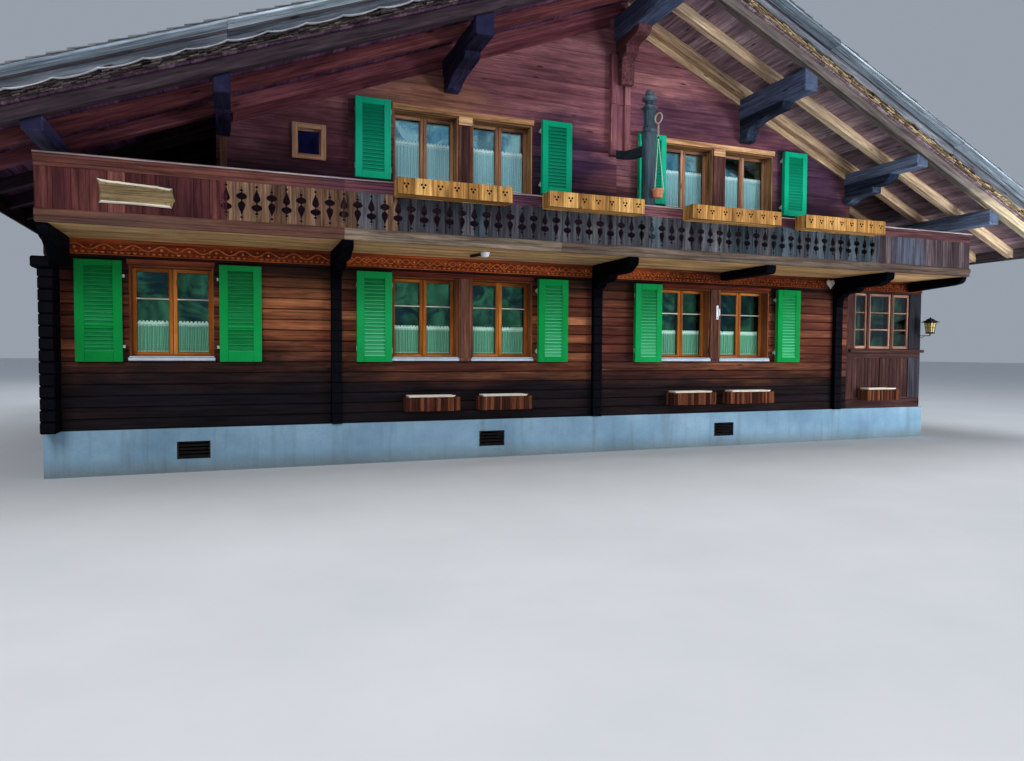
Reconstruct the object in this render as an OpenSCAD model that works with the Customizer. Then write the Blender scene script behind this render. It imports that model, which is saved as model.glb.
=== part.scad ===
// Alpine timber chalet, gable front with a full width balcony.
// Millimetres, +Z up, front gable faces -Y. The frame origin is the centre
// of the bounding box footprint on the ground.
// House frame used below: x = 0 between the two paired windows, y = 0 on the
// outer face of the front wall, z = 0 on the ground.

/* [Body] */
// Outer face of the left wall, distance left of the middle
left_x = 8020; // [7000:10:9000]
// Outer face of the right wall, distance right of the middle
right_x = 7200; // [6500:10:8500]
// Depth of the house between the gable faces
depth = 9600; // [7000:50:12000]
// Thickness of the log walls
wall_t = 180; // [120:5:240]
// Top of the rendered plinth
plinth_z = 600; // [400:10:900]
// Height of one log course on the ground floor
course = 150; // [120:5:200]
// Underside of the upper floor
floor2_z = 3060; // [2800:10:3400]
// Depth of the V groove between two logs
groove = 10; // [4:1:20]

/* [Upper storey] */
// Outer face of the upper block on the left, left of the middle
up_left = 5970; // [5000:10:7000]
// Outer face of the upper block on the right
up_right = 5260; // [5000:10:7000]
// Thickness of the upper log walls
up_t = 150; // [120:5:200]

/* [Roof] */
// Underside of the rafters at the ridge
ridge_z = 7215; // [6500:5:8000]
// Ridge line, right of the middle
ridge_x = 280; // [0:10:400]
// Rise of the left slope per millimetre run
slope_l = 0.383; // [0.3:0.001:0.6]
// Rise of the right slope per millimetre run
slope_r = 0.445; // [0.3:0.001:0.6]
// Left eave, left of the middle
eave_l = 8850; // [8200:10:9500]
// Right eave, right of the middle
eave_r = 8500; // [8000:10:9500]
// Overhang of the roof in front of and behind the gables
verge = 1950; // [1200:10:2400]
// Height of a rafter, measured upright
raf_h = 170; // [120:5:220]

/* [Balcony] */
// Depth of the balcony floor
bal_d = 1200; // [900:10:1500]
// Left end of the balcony, left of the middle
bal_l = 7840; // [7000:10:8200]
// Right end of the balcony
bal_r = 6900; // [6500:10:7500]
// Underside of the balcony floor
bal_z = 3090; // [3000:10:3300]
// Top of the balcony rail
rail_z = 3870; // [3700:10:4100]

/* [Openings] */
// Bottom of the ground windows
win_z0 = 1560; // [1400:10:1800]
// Top of the ground windows
win_z1 = 2780; // [2600:10:2900]
// Bottom of the upper windows
up_z0 = 4150; // [4000:10:4300]
// Top of the upper windows
up_z1 = 5240; // [5000:10:5400]
// Bottom of the ground shutters
sh_z0 = 1500; // [1400:10:1600]
// Height of the ground shutters
sh_h = 1320; // [1100:10:1500]
// Thickness of one shutter leaf
sh_t = 38; // [25:1:50]
// Width of one leaf of a folded pair
leaf_w = 515; // [400:5:600]

/* [Hidden] */
$fn = 24;
XS = (eave_l - eave_r) / 2;
YS = -depth / 2;
LX = -left_x; RX = right_x; D = depth;
UL = -up_left; UR = up_right;
BT = bal_z + 60;              // balcony floor top
F2 = floor2_z + 140;          // upper floor top
DK = 30;                      // roof boards, upright
BED = 265;                    // shingle bed and battens under the covering
TIL = 40;                     // covering
BV = verge - 260;             // overhang of boards and bed
SHY = -37;                    // back face of the shutters
// left ground window: hinge axes
HXL = -7110; HXR = -5970; HY = SHY - sh_t / 2;
HLW = 545;                    // single leaf width
// ground window openings on the front [x0, x1]
GW = [[-7060, -6020], [-3560, -2540], [-2320, -1300], [1100, 2100], [2310, 3390]];
UW = [[-3540, -2540], [-2320, -1320], [1140, 2120], [2360, 3420]];
// cross walls whose log ends show: [x0, x1]
CW = [[LX, LX + wall_t], [-4460, -4310], [-245, -80], [4890, 5070], [RX - wall_t, RX]];
// veranda
VX0 = 5260; VD = 2400;
// purlins: [x0, x1, height]
PR = [[ridge_x - 150, ridge_x + 150, 360], [-2790, -2530, 235], [2650, 2910, 235],
      [UL, UL + 190, 180], [5100, 5340, 103], [-7870, -7660, 95], [6900, 7120, 171]];
PE = 1600;                    // purlin ends in front of the wall
FR = [[-165, -15], [-930, -790], [-1650, -1510]];   // flying rafters, y ranges

// ---- helpers ----------------------------------------------------------
function zr(x) = x < ridge_x ? ridge_z - slope_l * (ridge_x - x) : ridge_z - slope_r * (x - ridge_x);
module at_origin() translate([XS, YS, 0]) children();
module box(a, b) translate(a) cube([b[0] - a[0], b[1] - a[1], b[2] - a[2]]);
// polygon in (x, z) drawn between y0 and y1
module ext_y(y0, y1) translate([0, y1, 0]) rotate([90, 0, 0]) linear_extrude(y1 - y0) children();
// polygon in (y, z) drawn between x0 and x1
module ext_x(x0, x1) translate([x0, 0, 0]) rotate([90, 0, 90]) linear_extrude(x1 - x0) children();
// band that follows the roof between x0 and x1, from zr + a to zr + b
function band_pts(x0, x1, a, b) = (x0 < ridge_x && x1 > ridge_x)
  ? [[x0, zr(x0) + a], [ridge_x, ridge_z + a], [x1, zr(x1) + a], [x1, zr(x1) + b], [ridge_x, ridge_z + b], [x0, zr(x0) + b]]
  : [[x0, zr(x0) + a], [x1, zr(x1) + a], [x1, zr(x1) + b], [x0, zr(x0) + b]];
module band(x0, x1, a, b) polygon(band_pts(x0, x1, a, b));
// area below the roof line between x0 and x1 down to z0
module under_roof(x0, x1, z0, a) polygon(concat([[x0, z0]], (x0 < ridge_x && x1 > ridge_x)
  ? [[x0, zr(x0) + a], [ridge_x, ridge_z + a], [x1, zr(x1) + a]] : [[x0, zr(x0) + a], [x1, zr(x1) + a]], [[x1, z0]]));
// log wall section: outer face at 0, inner face at t, grooves at each joint
function joints(z0, z1, z, c) = [for (k = [1 : ceil((z1 - z0) / c)]) if (z + k * c > z0 + 20 && z + k * c < z1 - 20) z + k * c];
function log_pts(z0, z1, t, c, g) = let (j = joints(z0, z1, z0, c))
  concat([[0, z0]], [for (q = j) each [[0, q - g], [g, q], [0, q + g]]], [[0, z1], [t, z1], [t, z0]]);
// front facing: outer face towards -y
module log_x(x0, x1, z0, z1, t, c) ext_x(x0, x1) polygon(log_pts(z0, z1, t, c, groove));
module holes(list, z0, z1, y0, y1) for (w = list) box([w[0], y0, z0], [w[1], y1, z1]);
module purlin2d(p) polygon(concat([[p[0], min(zr(p[0]), zr(p[1])) - p[2]]],
  (p[0] < ridge_x && p[1] > ridge_x) ? [[p[0], zr(p[0])], [ridge_x, ridge_z], [p[1], zr(p[1])]] : [[p[0], zr(p[0])], [p[1], zr(p[1])]],
  [[p[1], min(zr(p[0]), zr(p[1])) - p[2]]]));
function pbot(p) = min(zr(p[0]), zr(p[1])) - p[2];
module purlin_cut(y0, y1) for (p = PR) ext_y(y0, y1) purlin2d(p);

// ---- plinth and floors ------------------------------------------------
module plinth() color([0.78, 0.84, 0.9]) difference() {
  box([LX - 30, -40, 0], [RX + 30, D + 40, plinth_z]);
  box([LX + 320, 300, -1], [RX - 320, D - 300, plinth_z + 1]);
  for (x = [-6500, -2200, 2200]) box([x, -50, 180], [x + 420, 310, 420]);
}
module ground_floor() color([0.5, 0.36, 0.24]) box([LX + wall_t, wall_t, plinth_z], [RX - wall_t, D - wall_t, plinth_z + 120]);
module upper_floor() color([0.45, 0.32, 0.22]) box([LX, 0, floor2_z], [RX, D, F2]);

// ---- ground storey ----------------------------------------------------
module ground_wall_front() color([0.5, 0.3, 0.17]) difference() {
  log_x(LX + wall_t, VX0, plinth_z, floor2_z, wall_t, course);
  holes(GW, win_z0, win_z1, -10, wall_t + 10);
}
GB = [[-5900, -4880], [-4660, -3640], [2440, 3460], [3680, 4700]];
module ground_wall_rear() color([0.45, 0.27, 0.16]) difference() {
  translate([0, D, 0]) mirror([0, 1, 0]) log_x(LX + wall_t, RX - wall_t, plinth_z, floor2_z, wall_t, course);
  holes(GB, win_z0, win_z1, D - wall_t - 10, D + 10);
  box([-900, D - wall_t - 10, plinth_z + 120], [100, D + 10, 2720]);
}
SW = [[3300, 4300], [6200, 7200]];   // side windows, y ranges
module ground_walls_side() color([0.45, 0.27, 0.16]) {
  difference() {
    translate([LX, 0, 0]) rotate([0, 0, -90]) translate([-D, 0, 0]) log_x(0, D, plinth_z, floor2_z, wall_t, course);
    for (w = SW) box([LX - 10, w[0], win_z0], [LX + wall_t + 10, w[1], win_z1]);
  }
  difference() {
    translate([RX, VD, 0]) rotate([0, 0, 90]) log_x(0, D - VD, plinth_z, floor2_z, wall_t, course);
    for (w = SW) box([RX - wall_t - 10, w[0], win_z0], [RX + 10, w[1], win_z1]);
  }
}
// stepped console at the head of the flush log ends, (y, z)
CON = [[-90, 2640], [-115, 2700], [-250, 2782], [-520, 2813], [-595, 2875], [-990, 2865], [-1150, 2935], [-1160, 2950], [0, 2950]];
module log_ends_front() color([0.16, 0.2, 0.28]) {
  for (c = [CW[1], CW[2], CW[3]]) ext_x(c[0], c[1]) polygon(concat([[0, plinth_z], [-84, plinth_z]],
    [for (k = [1 : 13]) each [[-90, plinth_z + k * course - 130], [-90, plinth_z + k * course - 12], [-84, plinth_z + k * course]]], CON));
  // left corner: plain log ends under a wider cap log
  ext_x(CW[0][0], CW[0][1]) polygon(concat([[0, plinth_z], [-330, plinth_z]],
    [for (k = [1 : 13]) each [[-350, plinth_z + k * course - 110], [-350, plinth_z + k * course - 30], [-335, plinth_z + k * course]]],
    [[-350, 2660], [-350, 2800], [0, 2800]]));
  box([LX - 60, -400, 2660], [LX + wall_t - 20, -60, 2800]);
}
module log_ends_rear() color([0.2, 0.2, 0.24]) for (c = CW) translate([0, D, 0]) mirror([0, 1, 0])
  ext_x(c[0], c[1]) polygon(concat([[0, plinth_z], [-330, plinth_z]],
    [for (k = [1 : 11]) each [[-350, plinth_z + k * course - 110], [-350, plinth_z + k * course - 30], [-335, plinth_z + k * course]]],
    [[-350, 2400], [-450, 2700], [-560, 2800], [-560, 3060], [0, 3060]]));
module frieze() color([0.55, 0.3, 0.14]) {
  difference() {
    union() {
      box([LX + wall_t, -28, 2890], [RX, 0, 3090]);
      for (k = [0 : 37]) box([LX + wall_t + 40 + k * 400, -44, 3035], [LX + wall_t + 280 + k * 400, -28, 3075]);
    }
    for (c = [CW[1], CW[2], CW[3]]) box([c[0], -60, 2000], [c[1], 10, 2950]);
    for (b = BB) box([b[0], -60, 2950], [b[1], 10, 3091]);
  }
}

// ---- veranda ----------------------------------------------------------
VL = [[5460, 5780], [5840, 6390], [6450, 6880]];
VS = [[260, 880], [960, 1580], [1660, 2240]];
module veranda_frame() color([0.55, 0.33, 0.18]) {
  difference() {
    box([VX0, 0, plinth_z], [RX, 90, 2890]);
    for (v = VL) box([v[0], -5, 1760], [v[1], 95, 2840]);
    for (v = [[5460, 6130], [6210, 6880]]) box([v[0], -5, 780], [v[1], 25, 1600]);
  }
  difference() {
    box([RX - 90, 90, plinth_z], [RX, VD, floor2_z]);
    for (v = VS) box([RX - 95, v[0], 1760], [RX + 5, v[1], 2840]);
    for (v = [[260, 1200], [1300, 2240]]) box([RX - 25, v[0], 780], [RX + 5, v[1], 1600]);
  }
  box([VX0, 0, 2890], [RX, 90, floor2_z]);
  box([VX0 + 60, -50, 1690], [RX + 50, 0, 1750]);
  box([RX, 0, 1690], [RX + 50, VD, 1750]);
}

// ---- upper storey -----------------------------------------------------
SMW = [[-4930, -4570, 4430, 4820]];
module upper_wall_front() color([0.42, 0.25, 0.2]) difference() {
  intersection() {
    log_x(UL, UR, F2, 8000, up_t, 175);
    ext_y(-20, up_t + 20) under_roof(UL, UR, F2, raf_h);
  }
  holes(UW, up_z0, up_z1, -10, up_t + 10);
  for (w = SMW) box([w[0], -10, w[2]], [w[1], up_t + 10, w[3]]);
  purlin_cut(-20, up_t + 20);
}
UBW = [[-3560, -2540], [-2320, -1300], [1100, 2120], [2340, 3360]];
module upper_wall_rear() color([0.42, 0.25, 0.2]) difference() {
  intersection() {
    translate([0, D, 0]) mirror([0, 1, 0]) log_x(LX, RX, F2, 8000, up_t, 175);
    ext_y(D - up_t - 20, D + 20) under_roof(LX, RX, F2, raf_h);
  }
  holes(UBW, up_z0, up_z1, D - up_t - 10, D + 10);
  purlin_cut(D - up_t - 20, D + 20);
}
module upper_walls_side() color([0.36, 0.22, 0.18]) {
  difference() {
    translate([UL, up_t, 0]) rotate([0, 0, -90]) translate([-(D - 2 * up_t), 0, 0]) log_x(0, D - 2 * up_t, F2, pbot(PR[3]), up_t, 175);
    for (y = [2400, 6400]) box([UL - 10, y, F2], [UL + up_t + 10, y + 900, 4300]);
  }
  difference() {
    translate([UR, up_t, 0]) rotate([0, 0, 90]) log_x(0, D - 2 * up_t, F2, pbot(PR[4]), up_t, 175);
    for (y = [2400, 6400]) box([UR - up_t - 10, y, F2], [UR + 10, y + 900, 4300]);
  }
}
module gallery_walls() color([0.33, 0.2, 0.16]) {
  box([-7830, 0, F2], [-7720, D - up_t, pbot(PR[5])]);
  box([6950, 0, F2], [7060, D - up_t, pbot(PR[6])]);
}

// ---- balcony ----------------------------------------------------------
BB = [[-4460, -4310], [-245, -80], [2300, 2480], [4890, 5070]];
module balcony_floor() color([0.62, 0.48, 0.28]) box([-bal_l, -bal_d, bal_z], [bal_r, 0, BT]);
module balcony_beams() color([0.16, 0.2, 0.28]) {
  for (b = BB) ext_x(b[0], b[1]) polygon([[0, 2950], [-1160, 2950], [-1205, 2968], [-1230, 3010], [-1230, bal_z], [0, bal_z]]);
  // curved end consoles under both balcony ends
  ext_x(-bal_l + 5, -bal_l + 125) polygon([[-45, 2890], [-45, 2700], [-560, 2700], [-700, 2790], [-860, 2865], [-930, 2910], [-1130, 2970], [-1180, 3030], [-1190, bal_z], [-45, bal_z]]);
  ext_x(bal_r - 125, bal_r - 5) polygon([[-45, 2900], [-240, 2905], [-600, 2928], [-980, 2950], [-1120, 2975], [-1180, 3040], [-1195, bal_z], [-45, bal_z]]);
}
module balcony_rails() color([0.45, 0.25, 0.18]) {
  for (s = [0, 1]) {
    z = s == 0 ? rail_z - 160 : bal_z;
    h = s == 0 ? 160 : 150;
    // moulded section: three fillets
    m = s == 0 ? [[-bal_d, 0], [-bal_d - 32, 0], [-bal_d - 32, 42], [-bal_d - 48, 50], [-bal_d - 48, 92], [-bal_d - 66, 102], [-bal_d - 66, 128], [-bal_d - 84, 134], [-bal_d - 84, h], [-bal_d + 60, h], [-bal_d + 60, 110], [-bal_d, 110]]
               : [[-bal_d, 0], [-bal_d - 40, 0], [-bal_d - 40, 60], [-bal_d - 58, 72], [-bal_d - 58, 132], [-bal_d - 36, h], [-bal_d, h]];
    ext_x(-bal_l, bal_r) translate([0, z]) polygon(m);
  }
  // returns at both ends
  for (e = [[-bal_l, 1], [bal_r, -1]]) {
    translate([e[0], 0, 0]) scale_x(e[1]) {
      box([0, -bal_d + 62, rail_z - 50], [60, 0, rail_z]);
      box([0, -bal_d + 62, BT], [60, 0, BT + 80]);
    }
  }
  // posts behind the boards
  for (x = [-7770, -5920, -4430, -2900, -1370, 1370, 2900, 4700, 5800, 6830]) box([x - 35, -bal_d, BT], [x + 35, -bal_d + 60, rail_z - 50]);
}
module scale_x(s) if (s > 0) children(); else mirror([1, 0, 0]) children();
module balcony_boards() color([0.5, 0.38, 0.3]) {
  box([-bal_l, -bal_d - 30, bal_z + 150], [bal_r, -bal_d, rail_z - 160]);
  for (e = [[-bal_l, 1], [bal_r, -1]]) translate([e[0], 0, 0]) scale_x(e[1]) box([0, -bal_d + 62, BT + 80], [30, 0, rail_z - 50]);
}
module balcony_post() color([0.2, 0.24, 0.3]) {
  difference() {
    union() {
      box([80, -1140, BT], [260, -960, 5000]);
      translate([170, -1050, 5000]) cylinder(h = 60, r = 115, $fn = 8);
      translate([170, -1050, 5060]) cylinder(h = 420, r = 80, $fn = 8);
      translate([170, -1050, 5480]) cylinder(h = 70, r = 110, $fn = 8);
      translate([170, -1050, 5550]) sphere(r = 80);
    }
    box([0, -1300, 5660], [400, -800, 5800]);
  }
  // arm back to the pilaster
  ext_x(130, 210) polygon([[-975, 4700], [-975, 4850], [-90, 4990], [-90, 4850], [-500, 4740]]);
}
module hanging_planter() color([0.3, 0.3, 0.3]) {
  translate([217, -1240, 3990]) cylinder(h = 130, r1 = 75, r2 = 95);
  translate([217, -1240, 4120]) cylinder(h = 980, r = 8);
  difference() {
    translate([217, -1240, 5180]) rotate([0, 90, 0]) translate([0, 0, -8]) cylinder(h = 16, r = 85);
    translate([217, -1240, 5180]) rotate([0, 90, 0]) translate([0, 0, -9]) cylinder(h = 18, r = 68);
  }
  box([207, -1172, 5170], [227, -1120, 5190]);
}
module gable_trim() color([0.45, 0.3, 0.26]) {
  // vertical log ends under the ridge
  box([40, -90, 4900], [400, 0, 6560]);
  // stepped console below the ridge purlin
  ext_x(ridge_x - 120, ridge_x + 120) polygon([[-92, 6040], [-200, 6040], [-215, 6450], [-330, 6500], [-350, 6610], [-450, 6640], [-700, 6680], [-750, pbot(PR[0])], [-2, pbot(PR[0])], [-2, 6562], [-92, 6562]]);
  // corner board of the upper block
  box([UL + 40, -24, F2], [UL + 135, 0, 4565]);
  // boards under the wall rafters
  for (s = [[-5760, -2800], [-2520, 30], [440, 2640], [2920, 5090]]) ext_y(-45, 0) band(s[0], s[1], -120, -3);
}

// ---- roof frame -------------------------------------------------------
module purlins() color([0.2, 0.27, 0.36]) for (p = PR) ext_y(-PE, D + PE) purlin2d(p);
module purlin_consoles() color([0.15, 0.2, 0.3]) for (s = [0, 1]) translate([0, s * D, 0]) mirror([0, s, 0]) {
  ext_x(PR[1][0] + 15, PR[1][1] - 15) translate([0, pbot(PR[1])])
    polygon([[0, -240], [-170, -240], [-210, -205], [-290, -165], [-450, -138], [-700, -118], [-1020, -110], [-1080, -50], [-1090, 0], [0, 0]]);
  ext_x(PR[2][0] + 15, PR[2][1] - 15) translate([0, pbot(PR[2])])
    polygon([[0, -420], [-170, -420], [-200, -330], [-270, -230], [-450, -150], [-700, -118], [-1020, -110], [-1080, -50], [-1090, 0], [0, 0]]);
  ext_x(PR[3][0] + 10, PR[3][1] - 10) translate([0, pbot(PR[3])])
    polygon([[0, -60], [-600, -58], [-850, -45], [-960, -20], [-1000, 0], [0, 0]]);
  ext_x(PR[4][0] + 10, PR[4][1] - 10) translate([0, pbot(PR[4])])
    polygon([[0, -370], [-120, -350], [-300, -270], [-660, -255], [-660, -150], [-900, -135], [-1010, -60], [-1040, 0], [0, 0]]);
}
// a pair of rafters meets over the ridge purlin with a 2 mm joint
module rafter_pair(y0, y1) slopes(y0, y1, 0, raf_h);
module slopes(y0, y1, a, b) {
  ext_y(y0, y1) band(-eave_l, ridge_x - 1, a, b);
  ext_y(y0, y1) band(ridge_x + 1, eave_r, a, b);
}
module rafters_gable() color([0.7, 0.54, 0.36]) for (f = FR) {
  rafter_pair(f[0], f[1]);
  rafter_pair(D - f[1], D - f[0]);
}
module rafters_inner() color([0.6, 0.46, 0.32]) for (k = [0 : 8]) rafter_pair(980 + k * 955 - 65, 980 + k * 955 + 65);
module roof_boards() color([0.42, 0.28, 0.28]) slopes(-BV, D + BV, raf_h, raf_h + DK);
module shingle_bed() color([0.55, 0.48, 0.38]) slopes(-BV, D + BV, raf_h + DK, raf_h + DK + BED);
RT = raf_h + DK + BED;        // underside of the covering
module roof_covering_left() color([0.38, 0.3, 0.27]) ext_y(-verge, D + verge) band(-eave_l, ridge_x - 1, RT, RT + TIL);
module roof_covering_right() color([0.38, 0.3, 0.27]) ext_y(-verge, D + verge) band(ridge_x + 1, eave_r, RT, RT + TIL);
module ridge_cap() color([0.36, 0.28, 0.25]) ext_y(-verge, D + verge) band(ridge_x - 160, ridge_x + 160, RT + TIL + 1, RT + TIL + 50);
// upright barge board and the flat board under the overhang of the covering
module barge_boards() color([0.45, 0.43, 0.42]) for (s = [0, 1]) translate([0, s * D, 0]) mirror([0, s, 0]) {
  slopes(-BV - 38, -BV - 4, 280, 448);
  slopes(-verge + 6, -BV - 42, 428, RT - 2);
}
module eave_fascia() color([0.3, 0.26, 0.28]) {
  box([-eave_l - 30, -BV, 3610], [-eave_l, D + BV, zr(-eave_l) + RT - 20]);
  box([eave_r, -BV, 3520], [eave_r + 30, D + BV, zr(eave_r) + RT - 20]);
}

// ---- windows ----------------------------------------------------------
// frame ring with one mullion, front at y0, in an opening w
module sash(w, z0, z1, y0, d) {
  difference() {
    box([w[0], y0, z0], [w[1], y0 + d, z1]);
    m = (w[0] + w[1]) / 2;
    box([w[0] + 58, y0 - 5, z0 + 58], [m - 50, y0 + d + 5, z1 - 58]);
    box([m + 50, y0 - 5, z0 + 58], [w[1] - 58, y0 + d + 5, z1 - 58]);
  }
}
// lining boards round a deep reveal
module lining(w, z0, z1, y1) difference() {
  box([w[0], 0, z0], [w[1], y1, z1]);
  box([w[0] + 22, -5, z0 + 22], [w[1] - 22, y1 + 5, z1 - 22]);
}
GS = 170;                     // front of the ground sashes on the front
US = 200;                     // front of the upper sashes on the front
module ground_window_frames() color([0.62, 0.4, 0.2]) {
  for (w = GW) { sash(w, win_z0, win_z1, GS, 60); lining(w, win_z0, win_z1, GS); }
  for (w = GB) sash(w, win_z0, win_z1, D - 120, 60);
  for (x = [LX + 60, RX - 120]) for (w = SW) translate([x, 0, 0]) rotate([0, 0, 90]) translate([0, -60, 0]) sash(w, win_z0, win_z1, 0, 60);
  // sills and heads in front of the wall
  for (w = [[-7075, -6005], [-3575, -1285], [1085, 3405]]) {
    box([w[0], -30, 1500], [w[1], 0, win_z0]);
    box([w[0], -30, win_z1], [w[1], 0, 2850]);
  }
  for (x = [[-2540, -2320], [2100, 2310]]) box([x[0], -26, win_z0], [x[1], 0, win_z1]);
  // door leaf on the rear side, fixed
  difference() {
    box([-900, D - 120, plinth_z + 120], [100, D - 60, 2720]);
    for (z = [900, 1500, 2100]) box([-780, D - 80, z], [-20, D - 50, z + 480]);
  }
}
module upper_window_frames() color([0.62, 0.4, 0.2]) {
  for (w = UW) { sash(w, up_z0, up_z1, US, 50); lining(w, up_z0, up_z1, US); }
  for (w = UBW) sash(w, up_z0, up_z1, D - 110, 60);
  for (w = [[-3560, -1300], [1120, 3440]]) {
    box([w[0], -34, up_z0 - 60], [w[1], 0, up_z0]);
    box([w[0], -34, up_z1], [w[1], 0, up_z1 + 80]);
  }
  for (x = [-2540, 2120]) box([x, -26, up_z0], [x + (x < 0 ? 220 : 240), 0, up_z1]);
  for (w = SMW) difference() {
    box([w[0] - 55, -30, w[2] - 55], [w[1] + 55, 0, w[3] + 55]);
    box([w[0] + 20, -35, w[2] + 20], [w[1] - 20, 5, w[3] - 20]);
  }
}
module ground_glass() color([0.6, 0.7, 0.75]) {
  box([-7200, GS + 60, win_z0 - 60], [3530, GS + 64, win_z1 + 60]);
  box([5380, 90, 1700], [6960, 94, 2880]);
  box([RX - 94, 180, 1700], [RX - 90, 2320, 2880]);
  box([-6000, D - wall_t - 4, win_z0 - 60], [-3540, D - wall_t, win_z1 + 60]);
  box([2340, D - wall_t - 4, win_z0 - 60], [4800, D - wall_t, win_z1 + 60]);
  for (x = [LX + wall_t, RX - wall_t - 4]) box([x, SW[0][0] - 80, win_z0 - 60], [x + 4, SW[1][1] + 80, win_z1 + 60]);
}
module upper_glass() color([0.6, 0.7, 0.75]) {
  box([-3620, US + 50, up_z0 - 60], [3500, US + 54, up_z1 + 60]);
  box([-5010, up_t, 4350], [-4490, up_t + 4, 4900]);
  box([-3640, D - up_t - 4, up_z0 - 60], [3440, D - up_t, up_z1 + 60]);
}

// ---- shutters ---------------------------------------------------------
// louvred leaf: frame with a recessed field, lower left corner at 0
module leaf(w, h, t) difference() {
  cube([w, t, h]);
  translate([90, -1, 100]) cube([w - 180, 9, h / 2 - 140]);
  translate([90, -1, h / 2 + 40]) cube([w - 180, 9, h / 2 - 140]);
  translate([90, t - 8, 100]) cube([w - 180, 9, h / 2 - 140]);
  translate([90, t - 8, h / 2 + 40]) cube([w - 180, 9, h / 2 - 140]);
}
module stack(x, z, h) for (k = [0, 1]) translate([x, SHY - sh_t - k * (sh_t + 4), z]) leaf(leaf_w, h, sh_t);
module ground_shutters() color([0.05, 0.5, 0.3]) {
  for (x = [-4100, -1235, 530, 3505]) stack(x, sh_z0, sh_h);
}
module upper_shutters() color([0.08, 0.55, 0.4]) {
  for (x = [-4115, -1190, 570, 3590]) stack(x, 4170, 1150);
}
module knuckles(x, dir) for (z = [sh_z0 + 200, sh_z0 + sh_h - 200]) difference() {
  union() {
    translate([x, HY, z - 20]) cylinder(h = 40, r = 13);
    box([dir > 0 ? x : x - 110, HY - 3, z - 20], [dir > 0 ? x + 110 : x, HY + 3, z + 20]);
  }
  translate([x, HY, z - 21]) cylinder(h = 42, r = 7.4);
}
module shutter_leaf_left() color([0.05, 0.5, 0.3]) {
  translate([HXL - 20 - HLW, SHY - sh_t, sh_z0]) leaf(HLW, sh_h, sh_t);
  knuckles(HXL, -1);
}
module shutter_leaf_right() color([0.05, 0.5, 0.3]) {
  translate([HXR + 20, SHY - sh_t, sh_z0]) leaf(HLW, sh_h, sh_t);
  knuckles(HXR, 1);
}
module shutter_pins() color([0.15, 0.15, 0.16]) for (x = [HXL, HXR]) for (z = [sh_z0 + 200, sh_z0 + sh_h - 200]) {
  translate([x, HY, z - 60]) cylinder(h = 90, r = 7);
  box([x - 7, HY, z - 60], [x + 7, 0, z - 30]);
}

// ---- boxes, sign ------------------------------------------------------
// filled with soil to 35 mm below its rim
module trough(x0, x1, y0, y1, z0, z1, t) difference() {
  box([x0, y0, z0], [x1, y1, z1]);
  box([x0 + t, y0 + t, z1 - 35], [x1 - t, y1 - t, z1 + 5]);
}
module balcony_flower_boxes() color([0.72, 0.56, 0.3])
  for (b = [[-3800, -2230], [-1690, -180], [640, 2300], [2790, 4480]]) trough(b[0], b[1], -bal_d - 334, -bal_d - 84, 3670, 3880, 22);
module wall_flower_boxes() color([0.35, 0.18, 0.16])
  for (b = [[-3400, -2570], [-2240, -1390], [1220, 2090], [2400, 3350], [5580, 6400]]) trough(b[0], b[1], -240, 0, 760, 1000, 22);
module sign_board() color([0.8, 0.72, 0.58])
  ext_y(-bal_d - 60, -bal_d - 32) polygon([[-7200, 3340], [-6440, 3330], [-6400, 3420], [-6430, 3560], [-6600, 3580], [-7000, 3600], [-7220, 3620], [-7190, 3480]]);

// lantern in front of the veranda corner, on a bracket
module lantern() color([0.12, 0.13, 0.15]) {
  box([7125, -10, 1980], [7185, 0, 2080]);
  box([7148, -250, 2024], [7162, -10, 2038]);
  translate([7155, -250, 2024]) cylinder(h = 50, r = 9);
  box([7095, -310, 2070], [7215, -190, 2092]);
  box([7080, -325, 2092], [7230, -175, 2290]);
  box([7040, -365, 2290], [7270, -135, 2315]);
  box([7100, -305, 2315], [7210, -195, 2360]);
  translate([7155, -250, 2355]) cylinder(h = 45, r = 10);
}

// ---- draw -------------------------------------------------------------
at_origin() plinth();
at_origin() ground_floor();
at_origin() ground_wall_front();
at_origin() ground_wall_rear();
at_origin() ground_walls_side();
at_origin() log_ends_front();
at_origin() log_ends_rear();
at_origin() frieze();
at_origin() veranda_frame();
at_origin() upper_floor();
at_origin() upper_wall_front();
at_origin() upper_wall_rear();
at_origin() upper_walls_side();
at_origin() gallery_walls();
at_origin() balcony_floor();
at_origin() balcony_beams();
at_origin() balcony_rails();
at_origin() balcony_boards();
at_origin() balcony_post();
at_origin() hanging_planter();
at_origin() gable_trim();
at_origin() purlins();
at_origin() purlin_consoles();
at_origin() rafters_gable();
at_origin() rafters_inner();
at_origin() roof_boards();
at_origin() shingle_bed();
at_origin() roof_covering_left();
at_origin() roof_covering_right();
at_origin() ridge_cap();
at_origin() barge_boards();
at_origin() eave_fascia();
at_origin() ground_window_frames();
at_origin() upper_window_frames();
at_origin() ground_glass();
at_origin() upper_glass();
at_origin() ground_shutters();
at_origin() upper_shutters();
at_origin() shutter_leaf_left();
at_origin() shutter_leaf_right();
at_origin() shutter_pins();
at_origin() balcony_flower_boxes();
at_origin() wall_flower_boxes();
at_origin() sign_board();
at_origin() lantern();
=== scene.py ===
import bpy
import bmesh
import math
import numpy as np
from mathutils import Matrix, Vector
from mathutils.geometry import delaunay_2d_cdt


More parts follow.
